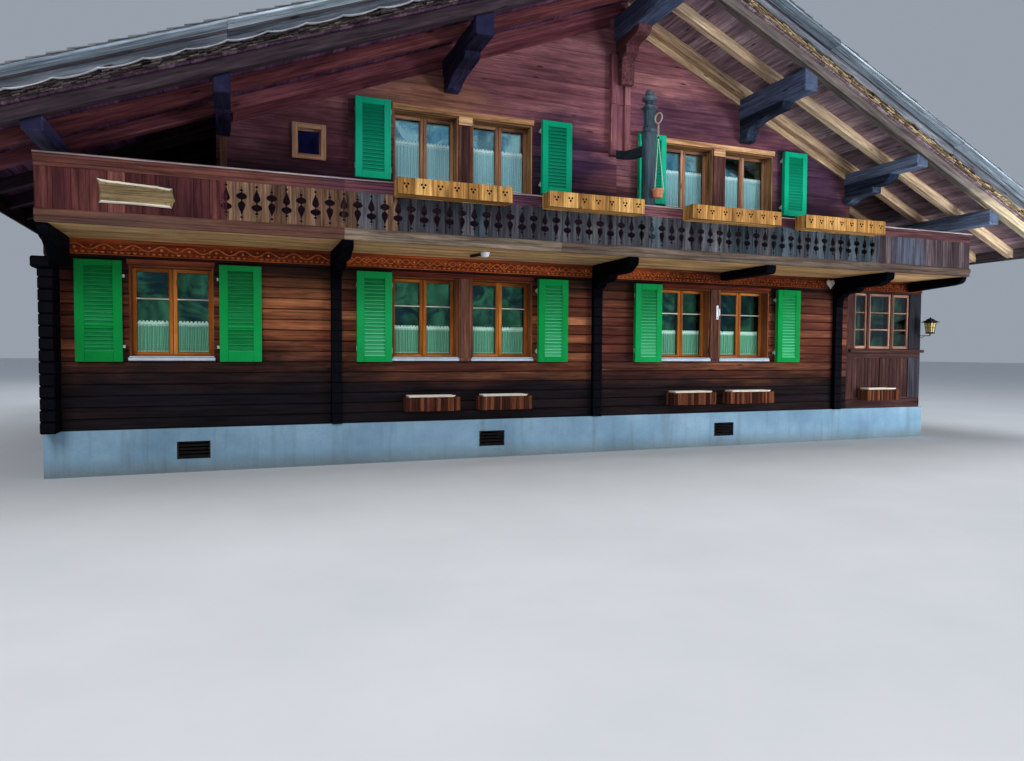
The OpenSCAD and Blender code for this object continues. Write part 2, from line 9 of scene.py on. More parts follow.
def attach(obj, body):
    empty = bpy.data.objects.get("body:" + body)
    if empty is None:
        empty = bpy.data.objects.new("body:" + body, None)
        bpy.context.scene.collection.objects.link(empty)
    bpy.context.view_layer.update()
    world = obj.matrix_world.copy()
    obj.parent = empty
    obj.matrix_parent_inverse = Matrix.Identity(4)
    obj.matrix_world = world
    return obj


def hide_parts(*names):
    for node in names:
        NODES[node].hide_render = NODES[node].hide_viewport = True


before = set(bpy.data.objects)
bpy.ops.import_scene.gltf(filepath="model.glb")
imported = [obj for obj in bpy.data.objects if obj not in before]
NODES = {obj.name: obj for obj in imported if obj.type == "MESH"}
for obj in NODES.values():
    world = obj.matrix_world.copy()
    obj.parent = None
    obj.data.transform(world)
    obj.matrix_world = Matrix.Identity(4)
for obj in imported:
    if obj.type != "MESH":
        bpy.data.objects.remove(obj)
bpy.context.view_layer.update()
RNG = np.random.default_rng(20)

# ---------------------------------------------------------------- dimensions
# metres, house frame: x = 0 between the paired windows, y = 0 on the outer face
# of the front wall, z = 0 on the ground; SHIFT brings it into the row frame
SHIFT = np.array([0.175, -4.8, 0.0])
LX, RX, D, WT = -8.02, 7.20, 9.60, 0.18
PZ, COURSE, F2U, F2 = 0.60, 0.15, 3.06, 3.20
UL, UR, UT = -5.97, 5.26, 0.15
RIDGE_Z, RIDGE_X, SL, SR = 7.215, 0.28, 0.383, 0.445
EL, ER, VERGE, RAF = -8.85, 8.50, 1.95, 0.17
BV = VERGE - 0.26
RT = RAF + 0.03 + 0.265
BAL_D, BAL_L, BAL_R, BAL_Z, RAIL_Z, BT = 1.20, -7.84, 6.90, 3.09, 3.87, 3.15
GW = [(-7.06, -6.02), (-3.56, -2.54), (-2.32, -1.30), (1.10, 2.10), (2.31, 3.39)]
UW = [(-3.54, -2.54), (-2.32, -1.32), (1.14, 2.12), (2.36, 3.42)]
GB = [(-5.90, -4.88), (-4.66, -3.64), (2.44, 3.46), (3.68, 4.70)]
UBW = [(-3.56, -2.54), (-2.32, -1.30), (1.10, 2.12), (2.34, 3.36)]
SW = [(3.30, 4.30), (6.20, 7.20)]
WZ0, WZ1, UZ0, UZ1 = 1.56, 2.78, 4.15, 5.24
CW = [(LX, LX + WT), (-4.46, -4.31), (-0.245, -0.08), (4.89, 5.07), (RX - WT, RX)]
BB = [(-4.46, -4.31), (-0.245, -0.08), (2.30, 2.48), (4.89, 5.07)]
PR = [(RIDGE_X - .15, RIDGE_X + .15, .36), (-2.79, -2.53, .235), (2.65, 2.91, .235),
      (UL, UL + .19, .18), (5.10, 5.34, .103), (-7.87, -7.66, .095), (6.90, 7.12, .171)]
FR = [(-.165, -.015), (-.93, -.79), (-1.65, -1.51)]
VX0, VD = 5.26, 2.40
GS, US = 0.17, 0.20     # front of the ground and upper sashes behind the wall's face
JOINS = (-4.385, -0.1625, 4.98)


def zr(x):
    x = np.asarray(x, float)
    return np.where(x < RIDGE_X, RIDGE_Z - SL * (RIDGE_X - x), RIDGE_Z - SR * (x - RIDGE_X))


def pbot(p):
    return float(min(zr(p[0]), zr(p[1])) - p[2])


# ---------------------------------------------------------------- mesh builder
def unit(v):
    v = np.asarray(v, float)
    return v / np.linalg.norm(v)


def basis(d):
    """Rows: along the grain, across, through."""
    d = unit(d)
    h = np.array([0, 0, 1.0]) if abs(d[2]) < 0.8 else np.array([0, 1.0, 0])
    c = unit(np.cross(h, d))
    return np.array([d, c, np.cross(d, c)])


class Mesh:
    def __init__(self):
        self.v, self.f, self.m, self.gc, self.tone, self.dirt = [], [], [], [], [], []
        self.n = 0

    def add(self, verts, faces, mat=0, gdir=(1, 0, 0), tone=None, gc=None, mats=None, off=None, dirt=None):
        verts = np.asarray(verts, float).reshape(-1, 3)
        if tone is None:
            tone = float(RNG.random())
        if gc is None:
            if off is None:
                off = RNG.random(3) * 60
            gc = verts @ basis(gdir).T + off
        self.v.append(verts)
        self.gc.append(np.asarray(gc, float))
        self.tone.append(np.full(len(verts), tone) if np.isscalar(tone) else np.asarray(tone))
        self.dirt.append(np.zeros(len(verts)) if dirt is None else np.asarray(dirt, float))
        n = self.n
        for i, f in enumerate(faces):
            self.f.append([n + k for k in f])
            self.m.append(mats[i] if mats is not None else mat)
        self.n += len(verts)

    def build(self, name, mats, body="house", replaces=(), slot=None, smooth=None, recalc=True):
        me = bpy.data.meshes.new(name)
        v = np.concatenate(self.v) + SHIFT
        me.from_pydata(v.tolist(), [], self.f)
        me.polygons.foreach_set("material_index", np.asarray(self.m, np.int32))
        a = me.attributes.new("gc", "FLOAT_VECTOR", "POINT")
        a.data.foreach_set("vector", np.concatenate(self.gc).astype(np.float32).ravel())
        a = me.attributes.new("tone", "FLOAT", "POINT")
        a.data.foreach_set("value", np.concatenate(self.tone).astype(np.float32))
        a = me.attributes.new("dirt", "FLOAT", "POINT")
        a.data.foreach_set("value", np.concatenate(self.dirt).astype(np.float32))
        if recalc:
            bm = bmesh.new()
            bm.from_mesh(me)
            bmesh.ops.recalc_face_normals(bm, faces=bm.faces)
            bm.to_mesh(me)
            bm.free()
        me.update()
        if smooth is not None:
            me.polygons.foreach_set("use_smooth", np.ones(len(me.polygons), bool))
            me.set_sharp_from_angle(angle=math.radians(smooth))
        for m in (mats if isinstance(mats, (list, tuple)) else [mats]):
            me.materials.append(m)
        o = bpy.data.objects.new(name, me)
        bpy.context.scene.collection.objects.link(o)
        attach(o, body)
        if replaces:
            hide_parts(*([replaces] if isinstance(replaces, str) else replaces))
        return o


def area2(p):
    x, y = p[:, 0], p[:, 1]
    return 0.5 * float(np.sum(x * np.roll(y, -1) - np.roll(x, -1) * y))


def cut_corners(poly, r):
    """Each corner becomes two points r along its edges."""
    p = np.asarray(poly, float)
    out = []
    n = len(p)
    for i in range(n):
        a, b, c = p[i - 1], p[i], p[(i + 1) % n]
        la, lc = np.linalg.norm(a - b), np.linalg.norm(c - b)
        da, dc = (a - b) / la, (c - b) / lc
        turn = abs(da[0] * dc[1] - da[1] * dc[0])
        k = min(r, la * 0.35, lc * 0.35)
        if turn < 0.3 or k < 1e-5:
            out.append(b)
        else:
            out += [b + da * k, b + dc * k]
    return np.array(out)


def inset(poly, c):
    p = np.asarray(poly, float)
    s = 1 if area2(p) > 0 else -1
    e = np.roll(p, -1, 0) - p
    e /= np.linalg.norm(e, axis=1)[:, None]
    nrm = np.stack([-e[:, 1], e[:, 0]], 1) * s
    pn = np.roll(nrm, 1, 0)
    m = nrm + pn
    k = np.maximum((m * nrm).sum(1), 0.5)
    return p + m / k[:, None] * c


AX = {"x": (1, 2, 0), "y": (0, 2, 1), "z": (0, 1, 2)}


def prism(M, poly, axis, c0, c1, r=0.005, mat=0, cap=None, gdir=None, tone=None, off=None, ends=(True, True)):
    """poly is (y, z), (x, z) or (x, y) for the axis x, y or z. r cuts every edge."""
    p = cut_corners(poly, r) if r else np.asarray(poly, float)
    ia, ib, ic = AX[axis]
    q = inset(p, r) if r else p
    rings = []
    lo, hi = min(c0, c1), max(c0, c1)
    k = min(r, (hi - lo) * 0.3)
    if r and ends[0]:
        rings += [(q, lo), (p, lo + k)]
    else:
        rings += [(p, lo)]
    if r and ends[1]:
        rings += [(p, hi - k), (q, hi)]
    else:
        rings += [(p, hi)]
    n = len(p)
    V = np.zeros((len(rings) * n, 3))
    for j, (pp, c) in enumerate(rings):
        V[j * n:(j + 1) * n, ia] = pp[:, 0]
        V[j * n:(j + 1) * n, ib] = pp[:, 1]
        V[j * n:(j + 1) * n, ic] = c
    F, ms = [], []
    for j in range(len(rings) - 1):
        for i in range(n):
            F.append([j * n + i, j * n + (i + 1) % n, (j + 1) * n + (i + 1) % n, (j + 1) * n + i])
            ms.append(mat)
    F.append(list(range(n))[::-1])
    F.append([(len(rings) - 1) * n + i for i in range(n)])
    ms += [mat if cap is None else cap] * 2
    if gdir is None:
        gdir = {"x": (1, 0, 0), "y": (0, 1, 0), "z": (0, 0, 1)}[axis]
    M.add(V, F, gdir=gdir, tone=tone, mats=ms, off=off)


def box(M, x0, x1, y0, y1, z0, z1, g="x", r=0.004, **k):
    if g == "x":
        prism(M, [(y0, z0), (y1, z0), (y1, z1), (y0, z1)], "x", x0, x1, r, **k)
    elif g == "y":
        prism(M, [(x0, z0), (x1, z0), (x1, z1), (x0, z1)], "y", y0, y1, r, **k)
    else:
        prism(M, [(x0, y0), (x1, y0), (x1, y1), (x0, y1)], "z", z0, z1, r, **k)


def beam(M, p0, p1, w, h, up=(0, 0, 1), r=0.004, mat=0, cap=None, tone=None):
    """A bar from p0 to p1, w across and h along up."""
    p0, p1 = np.asarray(p0, float), np.asarray(p1, float)
    a = unit(p1 - p0)
    s = unit(np.cross(a, up))
    u = np.cross(s, a)
    L = np.linalg.norm(p1 - p0)
    p = cut_corners([(-w / 2, -h / 2), (w / 2, -h / 2), (w / 2, h / 2), (-w / 2, h / 2)], r) if r else np.array([(-w / 2, -h / 2), (w / 2, -h / 2), (w / 2, h / 2), (-w / 2, h / 2)])
    q = inset(p, r) if r else p
    k = min(r, L * 0.3)
    rings = [(q, 0), (p, k), (p, L - k), (q, L)] if r else [(p, 0), (p, L)]
    n = len(p)
    V = np.concatenate([p0 + a * c + pp[:, :1] * s + pp[:, 1:] * u for pp, c in rings])
    F = [[j * n + i, j * n + (i + 1) % n, (j + 1) * n + (i + 1) % n, (j + 1) * n + i] for j in range(len(rings) - 1) for i in range(n)]
    ms = [mat] * len(F) + [mat if cap is None else cap] * 2
    F += [list(range(n))[::-1], [(len(rings) - 1) * n + i for i in range(n)]]
    M.add(V, F, gdir=a, tone=tone, mats=ms)


def lathe(M, prof, centre, n=16, mat=0, axis="z", turn=0.0, tone=None, ang=(0, 2 * math.pi)):
    """prof is (radius, height) from bottom to top; closed at both ends."""
    prof = [(max(a, 1e-4), b) for a, b in prof]
    th = turn + np.arange(n) * 2 * math.pi / n
    V = []
    for rr, h in prof:
        c = np.stack([rr * np.cos(th), rr * np.sin(th), np.full(n, h)], 1)
        if axis == "x":
            c = c[:, [2, 0, 1]]
        elif axis == "y":
            c = c[:, [0, 2, 1]]
        V.append(c + np.asarray(centre))
    F = [[j * n + i, j * n + (i + 1) % n, (j + 1) * n + (i + 1) % n, (j + 1) * n + i] for j in range(len(prof) - 1) for i in range(n)]
    F += [list(range(n))[::-1], [(len(prof) - 1) * n + i for i in range(n)]]
    M.add(np.concatenate(V), F, mat=mat, gdir={"z": (0, 0, 1), "x": (1, 0, 0), "y": (0, 1, 0)}[axis], tone=tone)


def torus(M, centre, R, r, normal=(1, 0, 0), n=24, k=8, mat=0, squash=1.0, along=(0, 0, 1)):
    """A ring; squash stretches it along the given direction."""
    nn = unit(normal)
    a = unit(np.asarray(along, float) - np.dot(along, nn) * nn)
    b = np.cross(nn, a)
    V = []
    for i in range(n):
        t = 2 * math.pi * i / n
        c = np.asarray(centre) + a * R * squash * math.cos(t) + b * R * math.sin(t)
        d = unit(a * math.cos(t) / squash + b * math.sin(t))
        for j in range(k):
            s = 2 * math.pi * j / k
            V.append(c + d * r * math.cos(s) + nn * r * math.sin(s))
    F = [[i * k + j, ((i + 1) % n) * k + j, ((i + 1) % n) * k + (j + 1) % k, i * k + (j + 1) % k] for i in range(n) for j in range(k)]
    M.add(V, F, mat=mat, gdir=nn)


def tube(M, pts, r, n=8, mat=0, tone=None):
    """A round bar through points, closed at both ends. r is one radius or one for each point."""
    pts = np.asarray(pts, float)
    rr = np.full(len(pts), r) if np.isscalar(r) else np.asarray(r)
    V = []
    prev = None
    for i, p in enumerate(pts):
        d = unit(pts[min(i + 1, len(pts) - 1)] - pts[max(i - 1, 0)])
        if prev is None:
            prev = basis(d)[1]
        s = unit(prev - np.dot(prev, d) * d)
        u = np.cross(d, s)
        prev = s
        for j in range(n):
            t = 2 * math.pi * j / n
            V.append(p + rr[i] * (math.cos(t) * s + math.sin(t) * u))
    m = len(pts)
    F = [[i * n + j, i * n + (j + 1) % n, (i + 1) * n + (j + 1) % n, (i + 1) * n + j] for i in range(m - 1) for j in range(n)]
    F += [list(range(n))[::-1], [(m - 1) * n + j for j in range(n)]]
    M.add(V, F, mat=mat, gdir=pts[-1] - pts[0], tone=tone)


def plate(M, outline, holes, place, t0, t1, mat=0, gdir=(1, 0, 0), tone=None, hole_mat=None):
    """A plate with real holes. outline and holes are 2-D; place(a, b, depth) gives 3-D points."""
    loops = [np.asarray(outline, float)] + [np.asarray(h, float) for h in holes]
    pts, edges, start = [], [], 0
    for L in loops:
        n = len(L)
        pts += [Vector((float(x), float(y))) for x, y in L]
        edges += [(start + i, start + (i + 1) % n) for i in range(n)]
        start += n
    out = delaunay_2d_cdt(pts, edges, [], 0, 1e-7)
    vs, fs, orig = out[0], out[2], out[3]

    def inside(x, y, L):
        c = False
        j = len(L) - 1
        for i in range(len(L)):
            if (L[i][1] > y) != (L[j][1] > y) and x < (L[j][0] - L[i][0]) * (y - L[i][1]) / (L[j][1] - L[i][1]) + L[i][0]:
                c = not c
            j = i
        return c
    V2 = np.array([(v.x, v.y) for v in vs])
    keep = []
    for f in fs:
        cx, cy = V2[list(f)].mean(0)
        if inside(cx, cy, loops[0]) and not any(inside(cx, cy, h) for h in loops[1:]):
            keep.append(list(f))
    n = len(V2)
    A = np.array([place(a, b, t0) for a, b in V2])
    B = np.array([place(a, b, t1) for a, b in V2])
    F = [f[::-1] for f in keep] + [[n + i for i in f] for f in keep]
    count = {}
    for f in keep:
        for i in range(len(f)):
            e = (f[i], f[(i + 1) % len(f)])
            count[e] = count.get(e, 0) + 1
    ms = [mat] * len(F)
    for (a, b) in count:
        if (b, a) not in count:
            F.append([a, b, n + b, n + a])
            ms.append(mat if hole_mat is None else hole_mat)
    M.add(np.concatenate([A, B]), F, gdir=gdir, tone=tone, mats=ms)


def clip(poly, a, b, c):
    """Keeps a*u + b*z <= c of a convex polygon."""
    out = []
    n = len(poly)
    for i in range(n):
        p, q = poly[i], poly[(i + 1) % n]
        dp, dq = a * p[0] + b * p[1] - c, a * q[0] + b * q[1] - c
        if dp <= 1e-9:
            out.append(p)
        if (dp < -1e-9 and dq > 1e-9) or (dp > 1e-9 and dq < -1e-9):
            t = dp / (dp - dq)
            out.append((p[0] + t * (q[0] - p[0]), p[1] + t * (q[1] - p[1])))
    return out


FRONT = lambda u, d, z: np.stack([u, d, z], -1)
REAR = lambda u, d, z: np.stack([u, D - d, z], -1)
LEFT = lambda u, d, z: np.stack([LX + d, u, z], -1)
RIGHT = lambda u, d, z: np.stack([RX - d, u, z], -1)


def shifted(F, s):
    return lambda u, d, z: F(u, d + s, z)


def slab(M, F, poly, d0, d1, ch, zlo, zhi, mat=0, gdir=(1, 0, 0), tone=None, off=None, grime_and_shade=1.0):
    """A log or board in a wall: poly is (u, z) and convex; ch is the bevel along the bed joints."""
    p = np.array(poly, float)
    n = len(p)
    ch = min(ch, (zhi - zlo) * .25)
    e = min(.016, (zhi - zlo) * .15)
    z3 = np.clip(p[:, 1], zlo + ch + e, zhi - ch - e)
    z2 = np.clip(p[:, 1], zlo + ch, zhi - ch)
    z1 = np.clip(p[:, 1], zlo + ch * .35, zhi - ch * .35)
    u = p[:, 0]
    o = np.ones(n)
    V = np.concatenate([F(u, o * d0, z3), F(u, o * (d0 + .0012), z2), F(u, o * (d0 + ch * .35), z1), F(u, o * (d0 + ch), p[:, 1]), F(u, o * d1, p[:, 1])])
    fs = [[j * n + i, j * n + (i + 1) % n, (j + 1) * n + (i + 1) % n, (j + 1) * n + i] for j in range(4) for i in range(n)]
    fs += [list(range(n))[::-1], [4 * n + i for i in range(n)]]
    # each log darkens over its bevels towards the bed joints: painted shade in the joints, together with dirt
    M.add(V, fs, mat=mat, gdir=gdir, tone=tone, off=off, dirt=np.repeat([0.0, .12 * grime_and_shade, .52 * grime_and_shade, .95 * grime_and_shade, 1.0], n))


def log_wall(M, F, u0, u1, z0, z1, pitch, t, holes, cuts=(), clips=(), ch=0.010, gdir=(1, 0, 0), mat=0, relief=0.005, tones=(0, 1), grime_and_shade=1.0):
    """Courses of squared logs. holes are (u0, u1, z0, z1); cuts are butt joints; clips are half planes."""
    k = 0
    while z0 + k * pitch < z1 - 0.005:
        za, zb = z0 + k * pitch, min(z1, z0 + (k + 1) * pitch)
        if zb - za < 0.02:
            break
        spans = {}
        near = [h for h in holes if h[2] < zb - 1e-6 and h[3] > za + 1e-6]
        us = sorted({u0, u1, *[c for c in cuts if u0 < c < u1], *[h[0] for h in near], *[h[1] for h in near]})
        bays = [u0] + [c for c in cuts if u0 < c < u1] + [u1]
        rand = {b: (tones[0] + (tones[1] - tones[0]) * float(RNG.random()), RNG.random(3) * 60, float(RNG.random()) * relief) for b in range(len(bays))}
        for a, b in zip(us, us[1:]):
            m = (a + b) / 2
            bay = sum(1 for c in bays[1:-1] if m > c)
            tone, off, d = rand[bay]
            inh = [h for h in near if h[0] - 1e-6 < m < h[1] + 1e-6]
            zs = [(za, zb)]
            if inh:
                h = inh[0]
                zs = [(za, h[2])] * (h[2] > za + 1e-3) + [(h[3], zb)] * (h[3] < zb - 1e-3)
            for q0, q1 in zs:
                poly = [(a, q0), (b, q0), (b, q1), (a, q1)]
                for cl in clips:
                    poly = clip(poly, *cl)
                    if len(poly) < 3:
                        break
                if len(poly) < 3 or abs(area2(np.array(poly))) < 2e-4:
                    continue
                slab(M, F, poly, d, t, ch, q0, q1, mat=mat, gdir=gdir, tone=tone, off=off, grime_and_shade=grime_and_shade)
        k += 1


# ---------------------------------------------------------------- materials
def lin(c):
    """sRGB 0-255 to linear RGBA."""
    o = []
    for v in c[:3]:
        v = v / 255
        o.append(v / 12.92 if v <= 0.04045 else ((v + 0.055) / 1.055) ** 2.4)
    return (*o, 1.0)


class NT:
    def __init__(self, name, rough=0.6, metal=0.0):
        self.mat = bpy.data.materials.new(name)
        self.mat.use_nodes = True
        self.t = self.mat.node_tree
        self.t.nodes.clear()
        self.out = self.t.nodes.new("ShaderNodeOutputMaterial")
        self.b = self.t.nodes.new("ShaderNodeBsdfPrincipled")
        self.b.inputs["Roughness"].default_value = rough
        self.b.inputs["Metallic"].default_value = metal
        self.link(self.b.outputs[0], self.out.inputs["Surface"])

    def link(self, a, b):
        self.t.links.new(a, b)

    def put(self, sock, v):
        if hasattr(v, "is_output"):
            self.link(v, sock)
        else:
            sock.default_value = v

    def obj(self):
        return self.t.nodes.new("ShaderNodeTexCoord").outputs["Object"]

    def attr(self, name, fac=False):
        n = self.t.nodes.new("ShaderNodeAttribute")
        n.attribute_name = name
        return n.outputs["Fac"] if fac else n.outputs["Vector"]

    def scale(self, vec, s, loc=(0, 0, 0)):
        n = self.t.nodes.new("ShaderNodeMapping")
        self.link(vec, n.inputs[0])
        n.inputs["Scale"].default_value = s if hasattr(s, "__len__") else (s, s, s)
        n.inputs["Location"].default_value = loc
        return n.outputs[0]

    def noise(self, vec, s=1.0, detail=4, rough=0.55, dist=0.0):
        n = self.t.nodes.new("ShaderNodeTexNoise")
        self.link(vec, n.inputs["Vector"])
        n.inputs["Scale"].default_value = s
        n.inputs["Detail"].default_value = detail
        n.inputs["Roughness"].default_value = rough
        n.inputs["Distortion"].default_value = dist
        return n.outputs["Fac"]

    def voronoi(self, vec, s=1.0, feature="F1", rand=1.0):
        n = self.t.nodes.new("ShaderNodeTexVoronoi")
        n.feature = feature
        self.link(vec, n.inputs["Vector"])
        n.inputs["Scale"].default_value = s
        n.inputs["Randomness"].default_value = rand
        return n

    def wave(self, vec, s=1.0, dist=2.0, detail=2, kind="BANDS", direction="Y", dscale=1.0):
        n = self.t.nodes.new("ShaderNodeTexWave")
        n.wave_type = kind
        if kind == "BANDS":
            n.bands_direction = direction
        else:
            n.rings_direction = direction
        self.link(vec, n.inputs["Vector"])
        n.inputs["Scale"].default_value = s
        n.inputs["Distortion"].default_value = dist
        n.inputs["Detail"].default_value = detail
        n.inputs["Detail Scale"].default_value = dscale
        return n.outputs["Fac"]

    def ramp(self, fac, stops, mode="LINEAR"):
        n = self.t.nodes.new("ShaderNodeValToRGB")
        n.color_ramp.interpolation = mode
        e = n.color_ramp.elements
        while len(e) > 1:
            e.remove(e[-1])
        for i, (p, c) in enumerate(stops):
            x = e[0] if i == 0 else e.new(p)
            x.position = p
            x.color = lin(c) if hasattr(c, "__len__") else (c, c, c, 1)
        self.put(n.inputs[0], fac)
        return n.outputs[0]

    def mix(self, fac, a, b, mode="MIX"):
        n = self.t.nodes.new("ShaderNodeMix")
        n.data_type = "RGBA"
        n.blend_type = mode
        n.clamp_factor = True
        self.put(n.inputs[0], fac)
        self.put(n.inputs[6], a)
        self.put(n.inputs[7], b)
        return n.outputs[2]

    def math(self, op, a, b=0.0, c=None, clamp=False):
        n = self.t.nodes.new("ShaderNodeMath")
        n.operation = op
        n.use_clamp = clamp
        self.put(n.inputs[0], a)
        self.put(n.inputs[1], b)
        if c is not None:
            self.put(n.inputs[2], c)
        return n.outputs[0]

    def remap(self, v, a, b, c=0.0, d=1.0):
        n = self.t.nodes.new("ShaderNodeMapRange")
        n.clamp = True
        self.put(n.inputs[0], v)
        for i, x in enumerate((a, b, c, d)):
            n.inputs[i + 1].default_value = x
        return n.outputs[0]

    def xyz(self, v):
        n = self.t.nodes.new("ShaderNodeSeparateXYZ")
        self.link(v, n.inputs[0])
        return n.outputs

    def bump(self, h, strength=0.3, dist=0.003):
        n = self.t.nodes.new("ShaderNodeBump")
        n.inputs["Strength"].default_value = strength
        n.inputs["Distance"].default_value = dist
        self.link(h, n.inputs["Height"])
        self.link(n.outputs[0], self.b.inputs["Normal"])

    def col(self, c):
        self.put(self.b.inputs["Base Color"], c)


def wood(name, dark, mid, light, rough=(0.55, 0.85), bump=0.55, streak=0.72, knots=True, cracks=0.6, stain=None,
         zfade=None, ztop=None, toneweight=0.6, fine=1.0, spec=0.16, spots=()):
    """Timber: grain runs along gc.x, each board has its own tone. zfade darkens towards the foot and ztop towards the
    head, each (z0, z1, colour, amount); ztop is painted shade.
    """
    n = NT(name)
    n.b.inputs["Specular IOR Level"].default_value = spec
    gc, tone = n.attr("gc"), n.attr("tone", True)
    big = n.noise(n.scale(gc, (0.5, 3.2, 3.2)), 1.0, 3, 0.6, 0.4)
    grain = n.noise(n.scale(gc, (1.1, 26, 26)), 1.0, 6, 0.68, 0.5)
    fib = n.noise(n.scale(gc, (6, 150 * fine, 150 * fine)), 1.0, 3, 0.65)
    cloud = n.noise(n.scale(gc, (2.2, 9, 9), (3, 1, 8)), 1.0, 4, 0.65, 0.3)
    t = n.math("ADD", n.math("MULTIPLY", tone, toneweight), n.math("MULTIPLY", n.remap(big, 0.3, 0.7), 1 - toneweight))
    base = n.ramp(t, [(0.0, dark), (0.5, mid), (1.0, light)])
    shade = n.remap(grain, 0.32, 0.68, 1 - streak, 1 + streak * 0.62)
    shade = n.math("MULTIPLY", shade, n.remap(fib, 0.28, 0.72, 0.76, 1.22))
    shade = n.math("MULTIPLY", shade, n.remap(cloud, 0.3, 0.7, 0.78, 1.2))
    height = n.math("ADD", n.math("MULTIPLY", grain, 0.8), n.math("MULTIPLY", fib, 0.35))
    c = n.mix(1.0, base, shade, "MULTIPLY")
    if knots:
        v = n.voronoi(n.scale(gc, (1.8, 8.0, 8.0)), 1.0)
        spot = n.remap(v.outputs["Distance"], 0.06, 0.15, 1, 0)
        some = n.math("GREATER_THAN", n.xyz(v.outputs["Color"])[0], 0.55)
        k = n.math("MULTIPLY", spot, some)
        c = n.mix(n.math("MULTIPLY", k, 0.85), c, (0.008, 0.004, 0.004, 1))
        height = n.math("SUBTRACT", height, n.math("MULTIPLY", k, 0.3))
    if cracks:
        cr = n.noise(n.scale(gc, (0.55, 42, 42), (7, 3, 5)), 1.0, 2, 0.5, 0.2)
        line = n.remap(n.math("ABSOLUTE", n.math("SUBTRACT", cr, 0.5)), 0.0, 0.022, 1, 0)
        where = n.remap(n.noise(n.scale(gc, (0.5, 4, 4), (1, 8, 2)), 1.0, 2), 0.47, 0.58)
        line = n.math("MULTIPLY", line, where)
        c = n.mix(n.math("MULTIPLY", line, cracks), c, (0.004, 0.003, 0.003, 1))
        height = n.math("SUBTRACT", height, n.math("MULTIPLY", line, 0.9))
    o = n.obj()
    if stain:
        s = n.remap(n.noise(n.scale(o, (0.55, 0.55, 1.3)), 1.0, 4, 0.6, 0.5), 0.42, 0.7)
        c = n.mix(n.math("MULTIPLY", s, stain[1]), c, lin(stain[0]))
    # spots lay a patch of another colour round (x, z); on the log walls and the outer rafter these patches are painted
    # light and painted shade
    for cx, cz, rx, rz, col, amount in spots:
        X, _, Z = n.xyz(o)
        w = n.noise(n.scale(o, (1.5, 1.5, 4.5), (cx, 2, cz)), 1.0, 4, 0.6)
        q = n.math("POWER", n.math("ABSOLUTE", n.math("MULTIPLY", n.math("SUBTRACT", X, cx), 1 / rx)), 2.0)
        q = n.math("ADD", q, n.math("POWER", n.math("ABSOLUTE", n.math("MULTIPLY", n.math("SUBTRACT", Z, cz), 1 / rz)), 2.0))
        q = n.math("ADD", q, n.math("MULTIPLY", n.math("SUBTRACT", w, 0.5), 1.6))
        c = n.mix(n.remap(q, 0.3, 1.15, amount, 0.0), c, n.mix(1.0, lin(col), shade, "MULTIPLY"))
    # ztop, and zfade on the upper wall, are painted shade
    for band in (zfade, ztop):
        if band:
            z = n.xyz(o)[2]
            w = n.noise(n.scale(o, (0.8, 0.8, 2.5)), 1.0, 3)
            z = n.math("ADD", z, n.math("MULTIPLY", n.math("SUBTRACT", w, 0.5), 0.55 if band is zfade else 0.2))
            f = n.remap(z, band[0], band[1], band[3] if band is zfade else 0.0, 0.0 if band is zfade else band[3])
            c = n.mix(f, c, n.mix(1.0, lin(band[2]), shade, "MULTIPLY"))
    # soot and shade in the bed joints
    c = n.mix(n.math("MULTIPLY", n.attr("dirt", True), 0.86), c, (0.003, 0.002, 0.002, 1))
    n.col(c)
    n.put(n.b.inputs["Roughness"], n.remap(fib, 0.2, 0.8, rough[0], rough[1]))
    n.bump(height, bump, 0.004)
    return n.mat


def endgrain(name, dark, light):
    n = NT(name, 0.8)
    n.b.inputs["Specular IOR Level"].default_value = 0.06
    gc = n.attr("gc")
    x = n.xyz(gc)
    comb = n.t.nodes.new("ShaderNodeCombineXYZ")
    # rings round a centre that repeats every 0.4 m, so that each end has its own
    a = n.math("SUBTRACT", n.math("FRACT", n.math("MULTIPLY", x[1], 2.5)), 0.5)
    b = n.math("SUBTRACT", n.math("FRACT", n.math("MULTIPLY", x[2], 2.5)), 0.5)
    n.link(a, comb.inputs[0])
    n.link(b, comb.inputs[1])
    rings = n.wave(comb.outputs[0], 9.0, 2.5, 3, "RINGS", "Z", 1.5)
    f = n.noise(n.scale(gc, (60, 60, 60)), 1.0, 3)
    big = n.noise(n.scale(gc, (8, 8, 8)), 1.0, 3)
    c = n.ramp(n.math("ADD", n.math("MULTIPLY", rings, 0.35), n.math("MULTIPLY", big, 0.65)), [(0.2, dark), (0.8, light)])
    ck = n.remap(n.noise(n.scale(gc, (5, 14, 30)), 1.0, 2), 0.49, 0.51)
    c = n.mix(n.math("MULTIPLY", n.remap(f, 0.4, 0.7), 0.3), c, (0.01, 0.008, 0.008, 1))
    n.col(c)
    n.bump(n.math("ADD", rings, f), 0.4, 0.003)
    return n.mat


def paint(name, base, faded, deep, rough=0.55, tw=0.35):
    """Painted wood: brush marks, faded and dusty patches, darker chips."""
    n = NT(name, rough)
    n.b.inputs["Specular IOR Level"].default_value = 0.14
    gc, tone, o = n.attr("gc"), n.attr("tone", True), n.obj()
    fib = n.noise(n.scale(gc, (5, 110, 110)), 1.0, 3)
    big = n.noise(n.scale(o, 1.6), 1.0, 4, 0.6)
    c = n.ramp(n.math("ADD", n.math("MULTIPLY", tone, tw), n.math("MULTIPLY", big, 1 - tw)), [(0.1, deep), (0.45, base), (0.9, faded)])
    c = n.mix(n.remap(fib, 0.5, 0.8, 0, 0.22), c, lin(faded))
    chip = n.remap(n.noise(n.scale(o, 38), 1.0, 5, 0.75), 0.70, 0.74)
    c = n.mix(n.math("MULTIPLY", chip, 0.35), c, lin((30, 70, 50)))
    n.col(c)
    n.put(n.b.inputs["Roughness"], n.remap(big, 0.2, 0.8, rough - 0.08, rough + 0.2))
    n.bump(n.math("SUBTRACT", n.math("MULTIPLY", fib, 0.6), n.math("MULTIPLY", chip, 0.5)), 0.25, 0.0015)
    return n.mat


